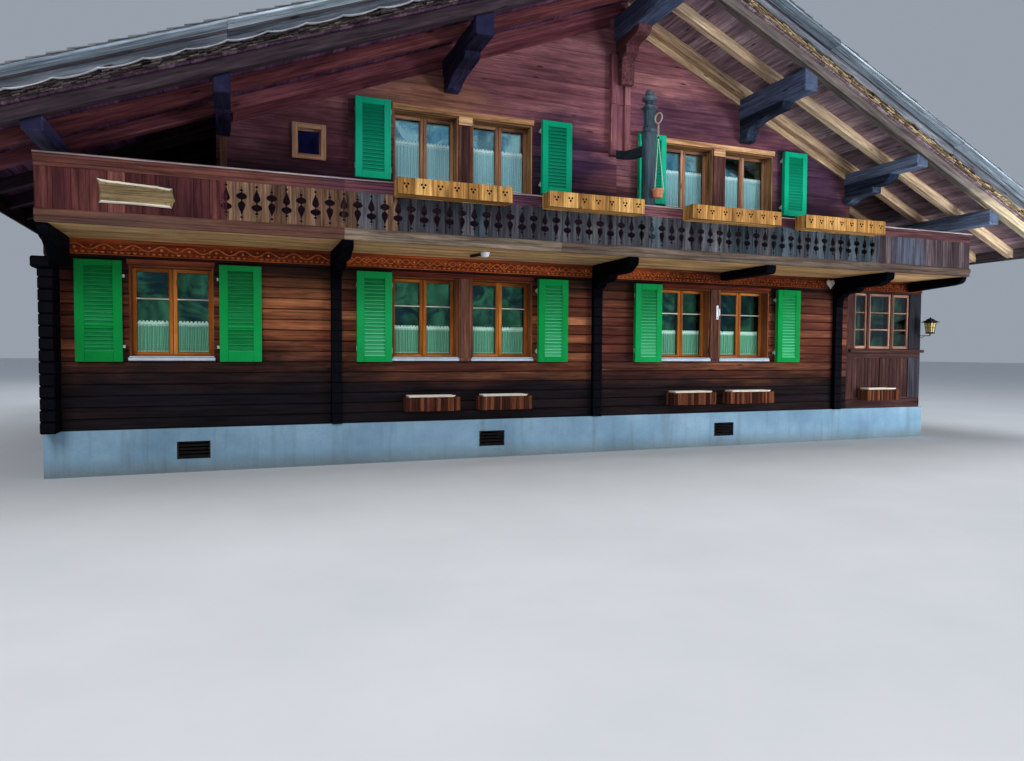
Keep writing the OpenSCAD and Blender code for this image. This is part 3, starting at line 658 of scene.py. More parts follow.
def metal(name, base, rust, rough=0.5, m=0.7):
    n = NT(name, rough, m)
    o = n.obj()
    f = n.noise(n.scale(o, 30), 1.0, 5, 0.65)
    g = n.noise(n.scale(o, 180), 1.0, 2)
    c = n.ramp(f, [(0.35, base), (0.65, rust)])
    n.col(n.mix(n.remap(g, 0.3, 0.7, 0, 0.25), c, (0.01, 0.01, 0.01, 1)))
    n.put(n.b.inputs["Roughness"], n.remap(f, 0.3, 0.7, rough - 0.1, rough + 0.25))
    n.bump(n.math("ADD", f, g), 0.25, 0.0015)
    return n.mat


def plaster(name):
    n = NT(name, 0.9)
    o = n.obj()
    z = n.xyz(o)[2]
    a = n.noise(n.scale(o, 1.1), 1.0, 5, 0.6)
    b = n.noise(n.scale(o, 26), 1.0, 5, 0.7)
    g = n.noise(n.scale(o, 160), 1.0, 3, 0.6)
    c = n.ramp(a, [(0.3, (100, 130, 152)), (0.5, (118, 149, 171)), (0.75, (140, 168, 188))])
    c = n.mix(n.remap(b, 0.45, 0.8, 0, 0.3), c, lin((92, 114, 130)))
    streak = n.noise(n.scale(o, (9, 9, 0.7)), 1.0, 4, 0.6)
    c = n.mix(n.math("MULTIPLY", n.remap(streak, 0.52, 0.72), 0.35), c, lin((84, 96, 102)))
    low = n.math("ADD", z, n.math("MULTIPLY", n.math("SUBTRACT", b, 0.5), 0.25))
    c = n.mix(n.remap(low, 0.0, 0.24, 0.65, 0.0), c, lin((92, 92, 80)))
    n.col(c)
    n.bump(n.math("ADD", n.math("MULTIPLY", b, 0.8), n.math("MULTIPLY", g, 0.4)), 0.5, 0.006)
    return n.mat


def glass(name, tint, gloss=0.03, strength=0.9, sheen=(0.9, 0.95, 1.0), least=0.0, deep=None):
    n = NT(name)
    n.t.nodes.remove(n.b)
    tr = n.t.nodes.new("ShaderNodeBsdfTransparent")
    tr.inputs[0].default_value = lin(tint)
    gl = n.t.nodes.new("ShaderNodeBsdfGlossy")
    gl.inputs["Roughness"].default_value = gloss
    gl.inputs["Color"].default_value = (*sheen, 1)
    # deep and sheen colours, mixed by a noise, make dark and bright patches in the glossy layer: painted reflection
    if deep:
        w = n.noise(n.scale(n.obj(), (1.9, 1.9, 2.1), (4, 0, 9)), 1.0, 6, 0.68, 0.8)
        n.link(n.mix(n.remap(w, 0.455, 0.545), (*deep, 1), (*sheen, 1)), gl.inputs["Color"])
    lw = n.t.nodes.new("ShaderNodeLayerWeight")
    lw.inputs["Blend"].default_value = 0.5
    edge = n.math("ADD", n.math("MULTIPLY", n.math("POWER", lw.outputs["Facing"], 5.0), 0.96), 0.04)
    mx = n.t.nodes.new("ShaderNodeMixShader")
    # noise patches vary how strongly the glass reflects: painted reflection
    f = n.remap(n.noise(n.scale(n.obj(), (3.4, 3.4, 2.2)), 1.0, 5, 0.62, 0.5), 0.41, 0.59, least * 0.4, least * 1.5)
    n.link(n.math("ADD", n.math("MULTIPLY", edge, strength), f), mx.inputs[0])
    n.link(tr.outputs[0], mx.inputs[1])
    n.link(gl.outputs[0], mx.inputs[2])
    n.link(mx.outputs[0], n.out.inputs["Surface"])
    return n.mat


def shingles(name):
    n = NT(name, 0.85)
    gc, tone, o = n.attr("gc"), n.attr("tone", True), n.obj()
    grain = n.noise(n.scale(gc, (2.5, 40, 40)), 1.0, 4, 0.6)
    fib = n.noise(n.scale(gc, (14, 260, 260)), 1.0, 2)
    big = n.noise(n.scale(o, 0.7), 1.0, 4, 0.6)
    c = n.ramp(n.math("ADD", n.math("MULTIPLY", tone, 0.42), n.math("MULTIPLY", big, 0.58)),
               [(0.12, (70, 72, 78)), (0.38, (98, 102, 110)), (0.62, (124, 130, 137)), (0.88, (156, 160, 163))])
    c = n.mix(n.remap(n.math("FRACT", n.math("MULTIPLY", tone, 7.31)), 0.0, 1.0, 0.0, 0.42), c, lin((112, 102, 94)))
    c = n.mix(1.0, c, n.remap(grain, 0.3, 0.7, 0.6, 1.2), "MULTIPLY")
    moss = n.math("MULTIPLY", n.remap(n.noise(n.scale(o, 2.2), 1.0, 6, 0.7), 0.55, 0.68), n.remap(n.noise(n.scale(o, 34), 1.0, 4), 0.38, 0.55))
    c = n.mix(n.math("MULTIPLY", moss, 0.75), c, lin((84, 88, 48)))
    n.col(c)
    n.bump(n.math("ADD", n.math("ADD", grain, n.math("MULTIPLY", fib, 0.4)), n.math("MULTIPLY", moss, 0.7)), 0.6, 0.005)
    return n.mat


def soil(name):
    n = NT(name, 0.95)
    o = n.obj()
    a = n.noise(n.scale(o, 60), 1.0, 6, 0.75)
    n.col(n.ramp(a, [(0.3, (28, 20, 16)), (0.5, (52, 38, 30)), (0.7, (88, 70, 54))]))
    n.bump(a, 0.9, 0.01)
    return n.mat


def curtain(name, tint):
    n = NT(name)
    n.t.nodes.remove(n.b)
    uv = n.attr("gc")
    x = n.xyz(uv)
    dif = n.t.nodes.new("ShaderNodeBsdfDiffuse")
    trl = n.t.nodes.new("ShaderNodeBsdfTranslucent")
    clear = n.t.nodes.new("ShaderNodeBsdfTransparent")
    weave = n.noise(n.scale(uv, (400, 400, 1)), 1.0, 2)
    c = n.ramp(weave, [(0.3, (236, 244, 244)), (0.7, (252, 254, 252))])
    # fine darker vertical lines across the net: painted shade of the folds
    painted_fold_shade = n.remap(n.math("SINE", n.math("MULTIPLY", x[0], 190)), -1, 1, 0.62, 1.0)
    netc = n.mix(1.0, lin(tint), painted_fold_shade, "MULTIPLY")
    c = n.mix(n.math("SUBTRACT", 1.0, x[2]), c, netc)
    n.link(c, dif.inputs[0])
    n.link(c, trl.inputs[0])
    m1 = n.t.nodes.new("ShaderNodeMixShader")
    m1.inputs[0].default_value = 0.08
    n.link(dif.outputs[0], m1.inputs[1])
    n.link(trl.outputs[0], m1.inputs[2])
    # open net between close-woven bands: x runs across, y up from the hem, z is 1 on solid bands
    net = n.math("MULTIPLY", n.math("SINE", n.math("MULTIPLY", x[0], 900)), n.math("SINE", n.math("MULTIPLY", x[1], 900)))
    dots = n.voronoi(n.scale(uv, (18, 18, 0)), 1.0, rand=0.0).outputs["Distance"]
    row = n.math("MULTIPLY", n.remap(x[1], 0.055, 0.065), n.remap(x[1], 0.105, 0.115, 1, 0))
    dot = n.math("MULTIPLY", n.remap(dots, 0.28, 0.34, 1, 0), row)
    solid = n.math("MAXIMUM", n.math("MAXIMUM", dot, x[2]), n.remap(net, -0.2, 0.35, 0.60, 0.92))
    m2 = n.t.nodes.new("ShaderNodeMixShader")
    n.link(solid, m2.inputs[0])
    n.link(clear.outputs[0], m2.inputs[1])
    n.link(m1.outputs[0], m2.inputs[2])
    n.link(m2.outputs[0], n.out.inputs["Surface"])
    return n.mat


def plain(name, c1, c2, rough=0.5, sc=20, bump=0.2, metalness=0.0):
    n = NT(name, rough, metalness)
    o = n.obj()
    a = n.noise(n.scale(o, sc), 1.0, 5, 0.65)
    n.col(n.ramp(a, [(0.3, c1), (0.7, c2)]))
    n.put(n.b.inputs["Roughness"], n.remap(a, 0.2, 0.8, rough - 0.1, rough + 0.15))
    n.bump(a, bump, 0.002)
    return n.mat


W = dict(
    # log_ground: zfade darkens the lowest logs, painted shade of the plants before the wall together with weathering;
    # ztop is painted shade on the logs under the balcony; the spots are patches of painted light and painted shade
    log_ground=wood("log_ground", (56, 26, 18), (112, 59, 40), (174, 112, 76), zfade=(1.10, 1.72, (17, 16, 21), 0.96), ztop=(2.42, 2.80, (36, 19, 18), 0.95), cracks=0.85, toneweight=0.58, stain=((50, 26, 30), 0.45),
                    spots=((5.0, 2.3, 1.6, .6, (76, 40, 36), .5), (-5.6, 1.15, 2.4, .70, (22, 12, 16), .75), (-7.2, 2.3, .9, .7, (62, 26, 22), .6), (.55, 1.9, .75, .95, (66, 30, 32), .55), (-4.85, 2.4, .7, .6, (168, 106, 68), .5))),
    log_side=wood("log_side", (62, 34, 26), (110, 62, 42), (156, 98, 62), zfade=(0.7, 1.5, (34, 22, 26), 0.9), cracks=0.8),
    # log_upper: zfade is painted shade on the wall behind the balcony; the spots are patches of painted light and
    # painted shade on the gable
    log_upper=wood("log_upper", (96, 54, 61), (142, 90, 95), (192, 134, 130), zfade=(4.12, 4.75, (15, 10, 24), 0.95), cracks=0.6, toneweight=0.5, streak=0.55, stain=((80, 48, 78), 0.5),
                   spots=((1.9, 5.15, 1.5, .45, (92, 56, 62), .6), (-.75, 4.75, 1.0, .8, (40, 28, 62), .85), (-2.7, 5.5, 1.1, .30, (156, 108, 76), .6), (2.3, 5.75, 1.7, .42, (60, 38, 62), .7), (-4.4, 4.7, 1.3, .75, (72, 36, 46), .75), (4.4, 4.8, 1.1, .9, (42, 34, 60), .8))),
    gallery=wood("gallery_boards", (44, 24, 32), (70, 40, 46), (96, 60, 60)),
    dark=wood("dark_timber", (2, 3, 6), (5, 6, 11), (12, 14, 21), streak=0.5, spec=0.02),
    bracket=wood("bracket_timber", (22, 27, 40), (42, 50, 68), (86, 96, 116), streak=0.8, spec=0.08),
    frieze=wood("frieze_timber", (92, 32, 14), (127, 50, 22), (165, 81, 40), cracks=0.6, streak=0.8, stain=((84, 34, 22), 0.5), spots=((5.2, 3.0, 4.6, 1.0, (54, 18, 9), .85),)),
    frieze_hi=wood("frieze_carving", (142, 66, 28), (178, 92, 44), (206, 124, 68), cracks=0.2, knots=False, spots=((5.2, 3.0, 4.6, 1.0, (92, 40, 18), .8),)),
    veranda=wood("veranda_timber", (42, 25, 25), (64, 41, 39), (88, 60, 54), cracks=0.4),
    vsash=wood("veranda_sash", (118, 84, 70), (148, 108, 92), (176, 136, 116), cracks=0.2, knots=False),
    vpost=wood("veranda_post", (26, 25, 31), (43, 41, 49), (68, 64, 73)),
    floor=wood("floor_timber", (60, 46, 34), (92, 70, 48), (120, 96, 66)),
    soffit=wood("soffit_timber", (164, 122, 76), (210, 164, 110), (242, 204, 150), stain=((128, 102, 92), 0.4)),
    rail=wood("rail_timber", (68, 36, 46), (105, 60, 68), (146, 98, 98), stain=((66, 54, 88), 0.4), spots=((5.2, 3.7, 2.6, .8, (72, 48, 46), .75), (-6.4, 3.75, 2.4, .7, (100, 60, 50), .8))),
    boards_l=wood("board_timber_red", (50, 24, 29), (84, 43, 44), (124, 76, 68), streak=0.7),
    fret=wood("board_timber_grey", (42, 42, 48), (67, 67, 74), (104, 103, 108), cracks=0.8, streak=0.85),
    boards_r=wood("board_timber_right", (40, 32, 36), (64, 52, 55), (98, 84, 85), streak=0.8, cracks=0.6, spots=((5.55, 3.5, .45, .6, (74, 84, 100), .6),)),
    lowband_l=wood("low_band_timber_brown", (54, 32, 30), (88, 54, 46), (126, 86, 70), cracks=0.7, stain=((96, 84, 74), 0.35)),
    lowband=wood("low_band_timber", (60, 50, 45), (94, 80, 70), (134, 118, 103), cracks=0.7, spots=((6.2, 3.2, 1.6, .6, (70, 54, 48), .6),)),
    carved=wood("carved_timber", (38, 50, 58), (58, 74, 84), (90, 106, 116), streak=0.45),
    # under the roof the left slope takes darker copies of each timber (purlin_l, end_left, rafter_dark, rafter_red,
    # rafter_grey, rafter_in, roof_board) and the right slope paler ones (purlin, end_pale, bracket, rafter, rafter_out,
    # roof_board_r): painted shade on the left, painted light on the right
    purlin=wood("purlin_timber", (56, 64, 92), (88, 102, 132), (130, 146, 170), cracks=0.9),
    console_red=wood("ridge_console_timber", (76, 44, 50), (112, 70, 74), (144, 100, 98)),
    rafter=wood("rafter_timber", (158, 126, 96), (202, 168, 132), (236, 208, 174), stain=((128, 104, 100), 0.4)),
    rafter_grey=wood("rafter_timber_purple", (44, 35, 42), (66, 54, 60), (92, 78, 80)),
    rafter_red=wood("rafter_timber_red", (72, 34, 42), (106, 56, 60), (142, 88, 84)),
    rafter_dark=wood("rafter_timber_dark", (74, 36, 46), (116, 62, 72), (152, 94, 98)),
    roof_board=wood("roof_board_timber", (60, 37, 62), (90, 56, 88), (124, 84, 112), cracks=0.4),
    roof_board_r=wood("roof_board_timber_right", (112, 90, 100), (158, 132, 142), (204, 180, 188), cracks=0.4),
    verge=wood("verge_timber", (108, 120, 132), (146, 160, 174), (182, 196, 206), cracks=0.7),
    barge=wood("barge_timber", (70, 74, 84), (104, 110, 120), (140, 146, 154), cracks=0.7),
    # pale timber for the foot of the left barge board: a painted highlight along its edge
    barge_edge_highlight=wood("barge_edge_highlight", (150, 150, 160), (184, 184, 190), (214, 214, 216), knots=False, cracks=0.2, streak=0.4),
    barge_up=wood("barge_timber_upper", (60, 54, 62), (88, 80, 88), (120, 110, 114)),
    # shingle_end is the lit copy used at the right verge, shingle_end_dark the shaded copy at the left: painted light
    # and painted shade
    shingle_end=wood("shingle_ends", (84, 68, 52), (148, 126, 98), (200, 178, 144), knots=False, toneweight=0.85),
    shingle_end_dark=wood("shingle_ends_dark", (36, 30, 34), (70, 60, 62), (112, 100, 96), knots=False, toneweight=0.85),
    sash=wood("window_timber", (112, 58, 20), (162, 92, 36), (204, 134, 66), cracks=0.2, streak=0.45, rough=(0.45, 0.7), toneweight=0.4, fine=1.4),
    sash_u=wood("window_timber_upper", (122, 82, 60), (158, 114, 88), (194, 150, 120), cracks=0.2, streak=0.45, rough=(0.45, 0.7), toneweight=0.4),
    reveal=wood("reveal_timber", (80, 42, 24), (120, 68, 40), (160, 102, 64), cracks=0.3, streak=0.6),
    trim=wood("trim_timber", (142, 98, 64), (192, 142, 100), (224, 182, 138), cracks=0.4),
    head=wood("head_timber", (66, 26, 18), (106, 44, 28), (140, 70, 44), cracks=0.4),
    cpost=wood("post_timber", (56, 32, 28), (88, 54, 44), (122, 82, 66)),
    cpost_u=wood("post_timber_upper", (54, 32, 32), (82, 52, 50), (116, 80, 72)),
    rafter_in=wood("rafter_timber_shaded", (26, 18, 24), (42, 29, 36), (62, 46, 52)),
    fret_brown=wood("board_timber_brown", (66, 45, 36), (104, 76, 60), (142, 112, 90), cracks=0.8, streak=0.85),
    fret_blue=wood("board_timber_blue", (38, 45, 51), (59, 69, 77), (92, 102, 110), cracks=0.8, streak=0.8),
    purlin_l=wood("purlin_timber_left", (20, 19, 36), (36, 34, 60), (62, 58, 90), cracks=0.8, streak=0.8),
    end_left=endgrain("end_grain_left", (20, 20, 40), (46, 45, 76)),
    trim_u=wood("reveal_timber_upper", (104, 70, 44), (146, 104, 68), (186, 144, 102), cracks=0.3),
    # rafter_out: the pale spot at its right end is a painted highlight
    rafter_out=wood("rafter_timber_outer", (80, 72, 70), (112, 102, 98), (150, 138, 128), cracks=0.7, spots=((7.9, 4.0, 1.7, .8, (196, 178, 146), .8),)),
    rail_edge=wood("rail_edge", (120, 108, 112), (158, 148, 150), (190, 182, 182), knots=False, cracks=0.3),
    sill=wood("sill_timber", (36, 32, 38), (56, 52, 58), (84, 82, 86)),
    door=wood("door_timber", (70, 40, 26), (104, 62, 38), (136, 88, 56)),
    box_gold=wood("box_gold", (124, 84, 42), (172, 124, 68), (216, 170, 106), cracks=0.4, toneweight=0.45),
    box_dark=wood("box_dark", (34, 14, 12), (64, 31, 21), (124, 72, 46), streak=0.75, toneweight=0.85),
    sign=wood("sign_timber", (104, 86, 60), (136, 116, 84), (168, 148, 112), cracks=0.4, streak=0.8),
    bark=wood("sign_bark", (196, 186, 164), (226, 218, 198), (246, 240, 226), knots=False, streak=0.4),
    end_dark=endgrain("end_grain_dark", (4, 5, 9), (13, 14, 21)),
    end_pale=endgrain("end_grain_pale", (50, 58, 76), (92, 104, 128)),
    end_tan=endgrain("end_grain_tan", (120, 92, 62), (190, 160, 122)),
    end_red=endgrain("end_grain_red", (66, 40, 36), (128, 90, 72)),
)
GREEN_G = paint("shutter_ground", (2, 128, 56), (20, 152, 84), (0, 98, 36))
SLAT_G = paint("slat_ground", (26, 140, 78), (104, 192, 148), (0, 98, 40), tw=0.85)
SLAT_U = paint("slat_upper", (8, 140, 104), (52, 176, 142), (2, 112, 80), tw=0.8)
SILLW = plain("sill_enamel", (160, 170, 184), (188, 196, 208), 0.45, 9, 0.15)
GREEN_U = paint("shutter_upper", (4, 160, 118), (40, 186, 150), (0, 126, 88))
IRON = metal("iron", (34, 36, 40), (62, 50, 42))
ZINC = metal("zinc", (150, 154, 156), (120, 122, 118), 0.45, 0.8)
CHAIN = metal("chain", (206, 198, 180), (176, 160, 134), 0.5, 0.2)
PLASTER = plaster("plinth_render")
SHINGLE = shingles("roof_shingle")
SOIL = soil("soil")
CURTAIN = curtain("curtain_net", (150, 202, 176))
CURTAIN_U = curtain("curtain_net_upper", (206, 240, 244))
# ground glass: a dark tint, painted shade of the room behind, and navy and green glossy patches, painted reflection of
# trees
GLASS_G = glass("glass_ground", (52, 92, 88), sheen=(0.26, 0.80, 0.40), least=0.26, deep=(0.01, 0.03, 0.12))
# upper glass: a strongly reflecting teal sheet behind the curtains, painted reflection of sky and trees
GLASS_U = glass("glass_upper", (180, 226, 232), sheen=(0.80, 1.0, 1.0), least=0.72, deep=(0.14, 0.46, 0.66))
# panes: their glossy layer is tinted, painted reflection
PANE_G = glass("pane_ground", (240, 250, 246), strength=0.6, sheen=(0.3, 0.7, 0.6), least=0.02)
PANE_U = glass("pane_upper", (246, 253, 253), sheen=(0.6, 0.95, 1.0), least=0.07)
# pane_dark: a navy tint, painted shade of the chamber behind
PANE_D = glass("pane_dark", (40, 36, 96), sheen=(0.10, 0.10, 0.45), least=0.05)
GLASS_C = glass("glass_clear", (236, 242, 242))
WHITE = plain("white_enamel", (222, 230, 238), (240, 244, 248), 0.35, 14, 0.1)
LINER = plain("planter_liner", (206, 198, 182), (232, 226, 212), 0.5, 22, 0.15)
CLAY = plain("planter_clay", (172, 104, 72), (204, 140, 104), 0.7, 30, 0.3)
ROPE = plain("planter_cord", (150, 160, 156), (206, 214, 206), 0.8, 60, 0.4)
HEART = plain("heart_enamel", (196, 190, 176), (222, 216, 200), 0.6, 26, 0.3)
AMBER = plain("lantern_glass", (150, 132, 78), (196, 178, 112), 0.25, 18, 0.1)
FITTING = plain("hinge_paint", (120, 168, 150), (176, 200, 188), 0.5, 40, 0.2)

# ---------------------------------------------------------------- camera, floor, light
scene = bpy.context.scene
yaw, pitch, roll = math.radians(20.92), math.radians(2.22), math.radians(0.32)
fw = Vector((math.sin(yaw) * math.cos(pitch), math.cos(yaw) * math.cos(pitch), -math.sin(pitch)))
rt = Vector((math.cos(yaw), -math.sin(yaw), 0))
up = rt.cross(fw)
rt2 = rt * math.cos(roll) + up * math.sin(roll)
up2 = up * math.cos(roll) - rt * math.sin(roll)
cam = bpy.data.objects.new("camera", bpy.data.cameras.new("camera"))
cam.data.sensor_fit, cam.data.sensor_width, cam.data.lens = "HORIZONTAL", 36.0, 36.0 * 723.3 / 1024
cam.data.clip_start, cam.data.clip_end = 0.1, 400
cam.matrix_world = Matrix(((rt2.x, up2.x, -fw.x, -5.575), (rt2.y, up2.y, -fw.y, -15.544), (rt2.z, up2.z, -fw.z, 1.65), (0, 0, 0, 1)))
scene.collection.objects.link(cam)
scene.camera = cam

me = bpy.data.meshes.new("floor")
me.from_pydata([(-150, -150, 0), (150, -150, 0), (150, 150, 0), (-150, 150, 0)], [], [(0, 1, 2, 3)])
floor = bpy.data.objects.new("floor", me)
me.materials.append(plain("floor_pale", (206, 208, 210), (214, 215, 217), 0.9, 0.6, 0.02))
scene.collection.objects.link(floor)


def area(name, loc, target, size, energy, colour=(1, 1, 1)):
    L = bpy.data.lights.new(name, "AREA")
    L.shape, L.size, L.energy, L.color = "DISK", size, energy, colour
    o = bpy.data.objects.new(name, L)
    o.location = loc
    o.rotation_euler = (Vector(target) - Vector(loc)).to_track_quat("-Z", "Y").to_euler()
    o.visible_glossy = False
    scene.collection.objects.link(o)
    return o


area("key", (-12, -25, 14), (0, -5, 3.0), 10, 2800, (1.0, 0.97, 0.93))
low = area("low", (9.5, -13.5, 0.5), (6.2, -4, 7.2), 5, 2020, (0.90, 0.96, 1.0))
# the floor right under this lamp stays out of its light
unlit = bpy.data.collections.new("unlit_floor")
unlit.objects.link(floor)
unlit.collection_objects[0].light_linking.link_state = "EXCLUDE"
low.light_linking.receiver_collection = unlit
area("fill", (20, -22, 9), (1, -4, 3.5), 10, 1000, (0.92, 0.96, 1.0))
area("top", (4, -6, 22), (0, 0, 5), 12, 2600, (0.95, 0.97, 1.0))
area("back", (-4, 22, 20), (0, 2, 3), 14, 1700, (0.95, 0.97, 1.0))
world = bpy.data.worlds.new("studio")
world.use_nodes = True
world.node_tree.nodes["Background"].inputs[0].default_value = (0.72, 0.82, 0.95, 1)
world.node_tree.nodes["Background"].inputs[1].default_value = 0.42
scene.world = world
scene.view_settings.view_transform = "Standard"

# ---------------------------------------------------------------- plinth, floors
def dress(node, mat):
    o = NODES[node]
    o.data.materials.clear()
    o.data.materials.append(mat)


dress("plinth", PLASTER)
M = Mesh()
for x in (-6.5, -2.2, 2.2):
    for k in range(5):
        z = 0.205 + 0.05 * k
        prism(M, [(-0.028, z), (-0.022, z - 0.006), (0.014, z + 0.02), (0.008, z + 0.026)], "x", x + 0.004, x + 0.416, 0, tone=0.4)
    box(M, x, x + 0.02, -0.034, 0.0, 0.182, 0.418, "z", 0.002)
    box(M, x + 0.40, x + 0.42, -0.034, 0.0, 0.182, 0.418, "z", 0.002)
M.build("vent_grilles", [IRON])

M = Mesh()
w = 0.16
n = int((RX - LX) / w)
for i in range(n):
    a = LX + (RX - LX) * i / n
    b = LX + (RX - LX) * (i + 1) / n
    for y0, y1 in ((WT, 3.4), (3.4, 6.5), (6.5, D - WT)):
        box(M, max(a, LX + WT) + .001, min(b, RX - WT) - .001, y0 + .001, y1 - .001, PZ, PZ + 0.12, "y", 0.002)
M.build("floor_boards_ground", [W["floor"]], replaces="ground_floor", slot="floor_timber")

M = Mesh()
cuts = [LX, -5.4, -2.0, 1.6, 4.9, RX]
for a, b in zip(cuts, cuts[1:]):
    box(M, a, b - .002, 0.0, 0.12, F2U, F2, "x", 0.006, cap=1)
    box(M, a, b - .002, D - 0.12, D, F2U, F2, "x", 0.006, cap=1)
for s in (LX, RX - 0.12):
    for a, b in ((0.12, 3.3), (3.3, 6.4), (6.4, D - .12)):
        box(M, s, s + 0.12, a + .001, b - .001, F2U, F2, "y", 0.006, cap=1)
for i in range(60):
    y0 = 0.12 + (D - .24) * i / 60
    y1 = 0.12 + (D - .24) * (i + 1) / 60
    for a, b in ((LX + .12, -3.2), (-3.2, 2.0), (2.0, RX - .12)):
        box(M, a + .001, b - .001, y0 + .001, y1 - .001, F2U + .004, F2 - .001, "x", 0.002)
M.build("floor_boards_upper", [W["gallery"], W["end_dark"]], replaces="upper_floor", slot="floor_timber")

# ---------------------------------------------------------------- log walls
M = Mesh()
log_wall(M, FRONT, LX + WT, VX0, PZ, F2U, COURSE, WT, [(a, b, WZ0, WZ1) for a, b in GW], cuts=JOINS, ch=0.016)
M.build("log_wall_front", [W["log_ground"]], replaces="ground_wall_front", slot="log_ground")
M = Mesh()
log_wall(M, REAR, LX + WT, RX - WT, PZ, F2U, COURSE, WT, [(a, b, WZ0, WZ1) for a, b in GB] + [(-0.9, 0.1, 0.72, 2.72)], cuts=JOINS, ch=0.016)
M.build("log_wall_rear", [W["log_side"]], replaces="ground_wall_rear", slot="log_ground")
M = Mesh()
side_holes = [(a, b, WZ0, WZ1) for a, b in SW]
log_wall(M, LEFT, 0, D, PZ, F2U, COURSE, WT, side_holes, cuts=(4.8,), ch=0.016, gdir=(0, 1, 0))
log_wall(M, RIGHT, VD, D, PZ, F2U, COURSE, WT, side_holes, cuts=(4.8,), ch=0.016, gdir=(0, 1, 0))
M.build("log_walls_side", [W["log_side"]], replaces="ground_walls_side", slot="log_ground")

SLOPES = [(-SL, 1, RIDGE_Z - SL * RIDGE_X + RAF - .003), (SR, 1, RIDGE_Z + SR * RIDGE_X + RAF - .003)]
M = Mesh()
log_wall(M, FRONT, UL, UR, F2, 7.4, 0.175, UT, [(a, b, UZ0, UZ1) for a, b in UW] + [(-4.93, -4.57, 4.43, 4.82)],
         cuts=(-4.2, 0.2, 4.2), clips=SLOPES, ch=0.007, relief=0.003, tones=(.2, .85), grime_and_shade=0.55)
M.build("gable_wall_front", [W["log_upper"]], replaces="upper_wall_front", slot="log_upper")
M = Mesh()
log_wall(M, REAR, LX, RX, F2, 7.4, 0.175, UT, [(a, b, UZ0, UZ1) for a, b in UBW], cuts=(-4.2, 0.2, 4.2), clips=SLOPES, ch=0.007, relief=0.003, tones=(.2, .85), grime_and_shade=0.55)
M.build("gable_wall_rear", [W["log_upper"]], replaces="upper_wall_rear", slot="log_upper")
M = Mesh()
GH = [(2.4, 3.3, F2, 4.3), (6.4, 7.3, F2, 4.3)]
log_wall(M, lambda u, d, z: np.stack([UL + d, u, z], -1), UT, D - UT, F2, pbot(PR[3]), 0.175, UT, GH, cuts=(4.8,), ch=0.012, gdir=(0, 1, 0))
log_wall(M, lambda u, d, z: np.stack([UR - d, u, z], -1), UT, D - UT, F2, pbot(PR[4]), 0.175, UT, GH, cuts=(4.8,), ch=0.012, gdir=(0, 1, 0))
M.build("gallery_inner_walls", [W["log_upper"]], replaces="upper_walls_side", slot="log_upper")
M = Mesh()
for x0, x1, top in ((-7.83, -7.72, pbot(PR[5])), (6.95, 7.06, pbot(PR[6]))):
    n = 62
    for i in range(n):
        a, b = (D - UT) * i / n, (D - UT) * (i + 1) / n
        j = float(RNG.random()) * 0.006
        box(M, x0 + j, x1 - j, a + .0015, b - .0015, F2, top, "z", 0.005)
M.build("gallery_outer_boards", [W["gallery"]], replaces="gallery_walls", slot="log_upper")

# ---------------------------------------------------------------- log ends and consoles
M = Mesh()


def log_stack(M, x0, x1, n, sign=1, y_at=lambda y: y, depth=.35, r=.014, jit=.010):
    for k in range(n):
        j = float(RNG.random()) * jit
        e = float(RNG.random()) * .004
        y0, y1 = sorted((y_at(-depth + j), y_at(0.0)))
        box(M, x0 + e, x1 - e, y0, y1, PZ + k * COURSE, PZ + (k + 1) * COURSE, "y", r, cap=1)


for c in (CW[1], CW[2], CW[3]):
    log_stack(M, c[0], c[1], 13, depth=.09, r=.006, jit=.003)
    steps = [
        [(-.09, 2.552), (-.09, 2.64), (-.10, 2.68), (-.115, 2.70), (0, 2.70), (0, 2.552)],
        [(-.115, 2.701), (-.17, 2.72), (-.22, 2.748), (-.245, 2.782), (0, 2.782), (0, 2.701)],
        [(-.25, 2.783), (-.42, 2.788), (-.505, 2.803), (-.56, 2.83), (-.595, 2.875), (0, 2.875), (0, 2.783)],
        [(-.60, 2.876), (-.86, 2.872), (-.985, 2.876), (-1.07, 2.895), (-1.13, 2.922), (-1.158, 2.95), (0, 2.95), (0, 2.876)]]
    for i, s in enumerate(steps):
        e = 0.005 * (i % 2)
        prism(M, s, "x", c[0] + e, c[1] - e, 0.005, gdir=(0, 1, 0), cap=None)
c = CW[0]
log_stack(M, c[0], c[1], 13)
box(M, c[0], c[1], -0.345, 0, 2.55, 2.66, "y", 0.012, cap=1)
box(M, c[0], c[1], -0.35, 0, 2.66, 2.80, "y", 0.012, cap=1)
box(M, LX - 0.06, LX + 0.16, -0.40, -0.06, 2.66, 2.80, "y", 0.018, cap=1)
M.build("log_ends_front_stack", [W["dark"], W["end_dark"]], replaces="log_ends_front", slot="dark_timber")
M = Mesh()
for c in CW:
    log_stack(M, c[0], c[1], 11, y_at=lambda y: D - y)
    prism(M, [(D, 2.25), (D + .35, 2.25), (D + .35, 2.40), (D + .40, 2.58), (D, 2.58)], "x", c[0], c[1], 0.008, gdir=(0, 1, 0))
    prism(M, [(D, 2.58), (D + .40, 2.58), (D + .45, 2.70), (D + .56, 2.80), (D + .56, 2.86), (D, 2.86)], "x", c[0] + .004, c[1] - .004, 0.008, gdir=(0, 1, 0))
    prism(M, [(D, 2.86), (D + .56, 2.86), (D + .56, 3.06), (D, 3.06)], "x", c[0], c[1], 0.010, gdir=(0, 1, 0))
M.build("log_ends_rear_stack", [W["dark"], W["end_dark"]], replaces="log_ends_rear", slot="dark_timber")

# ---------------------------------------------------------------- frieze
M = Mesh()


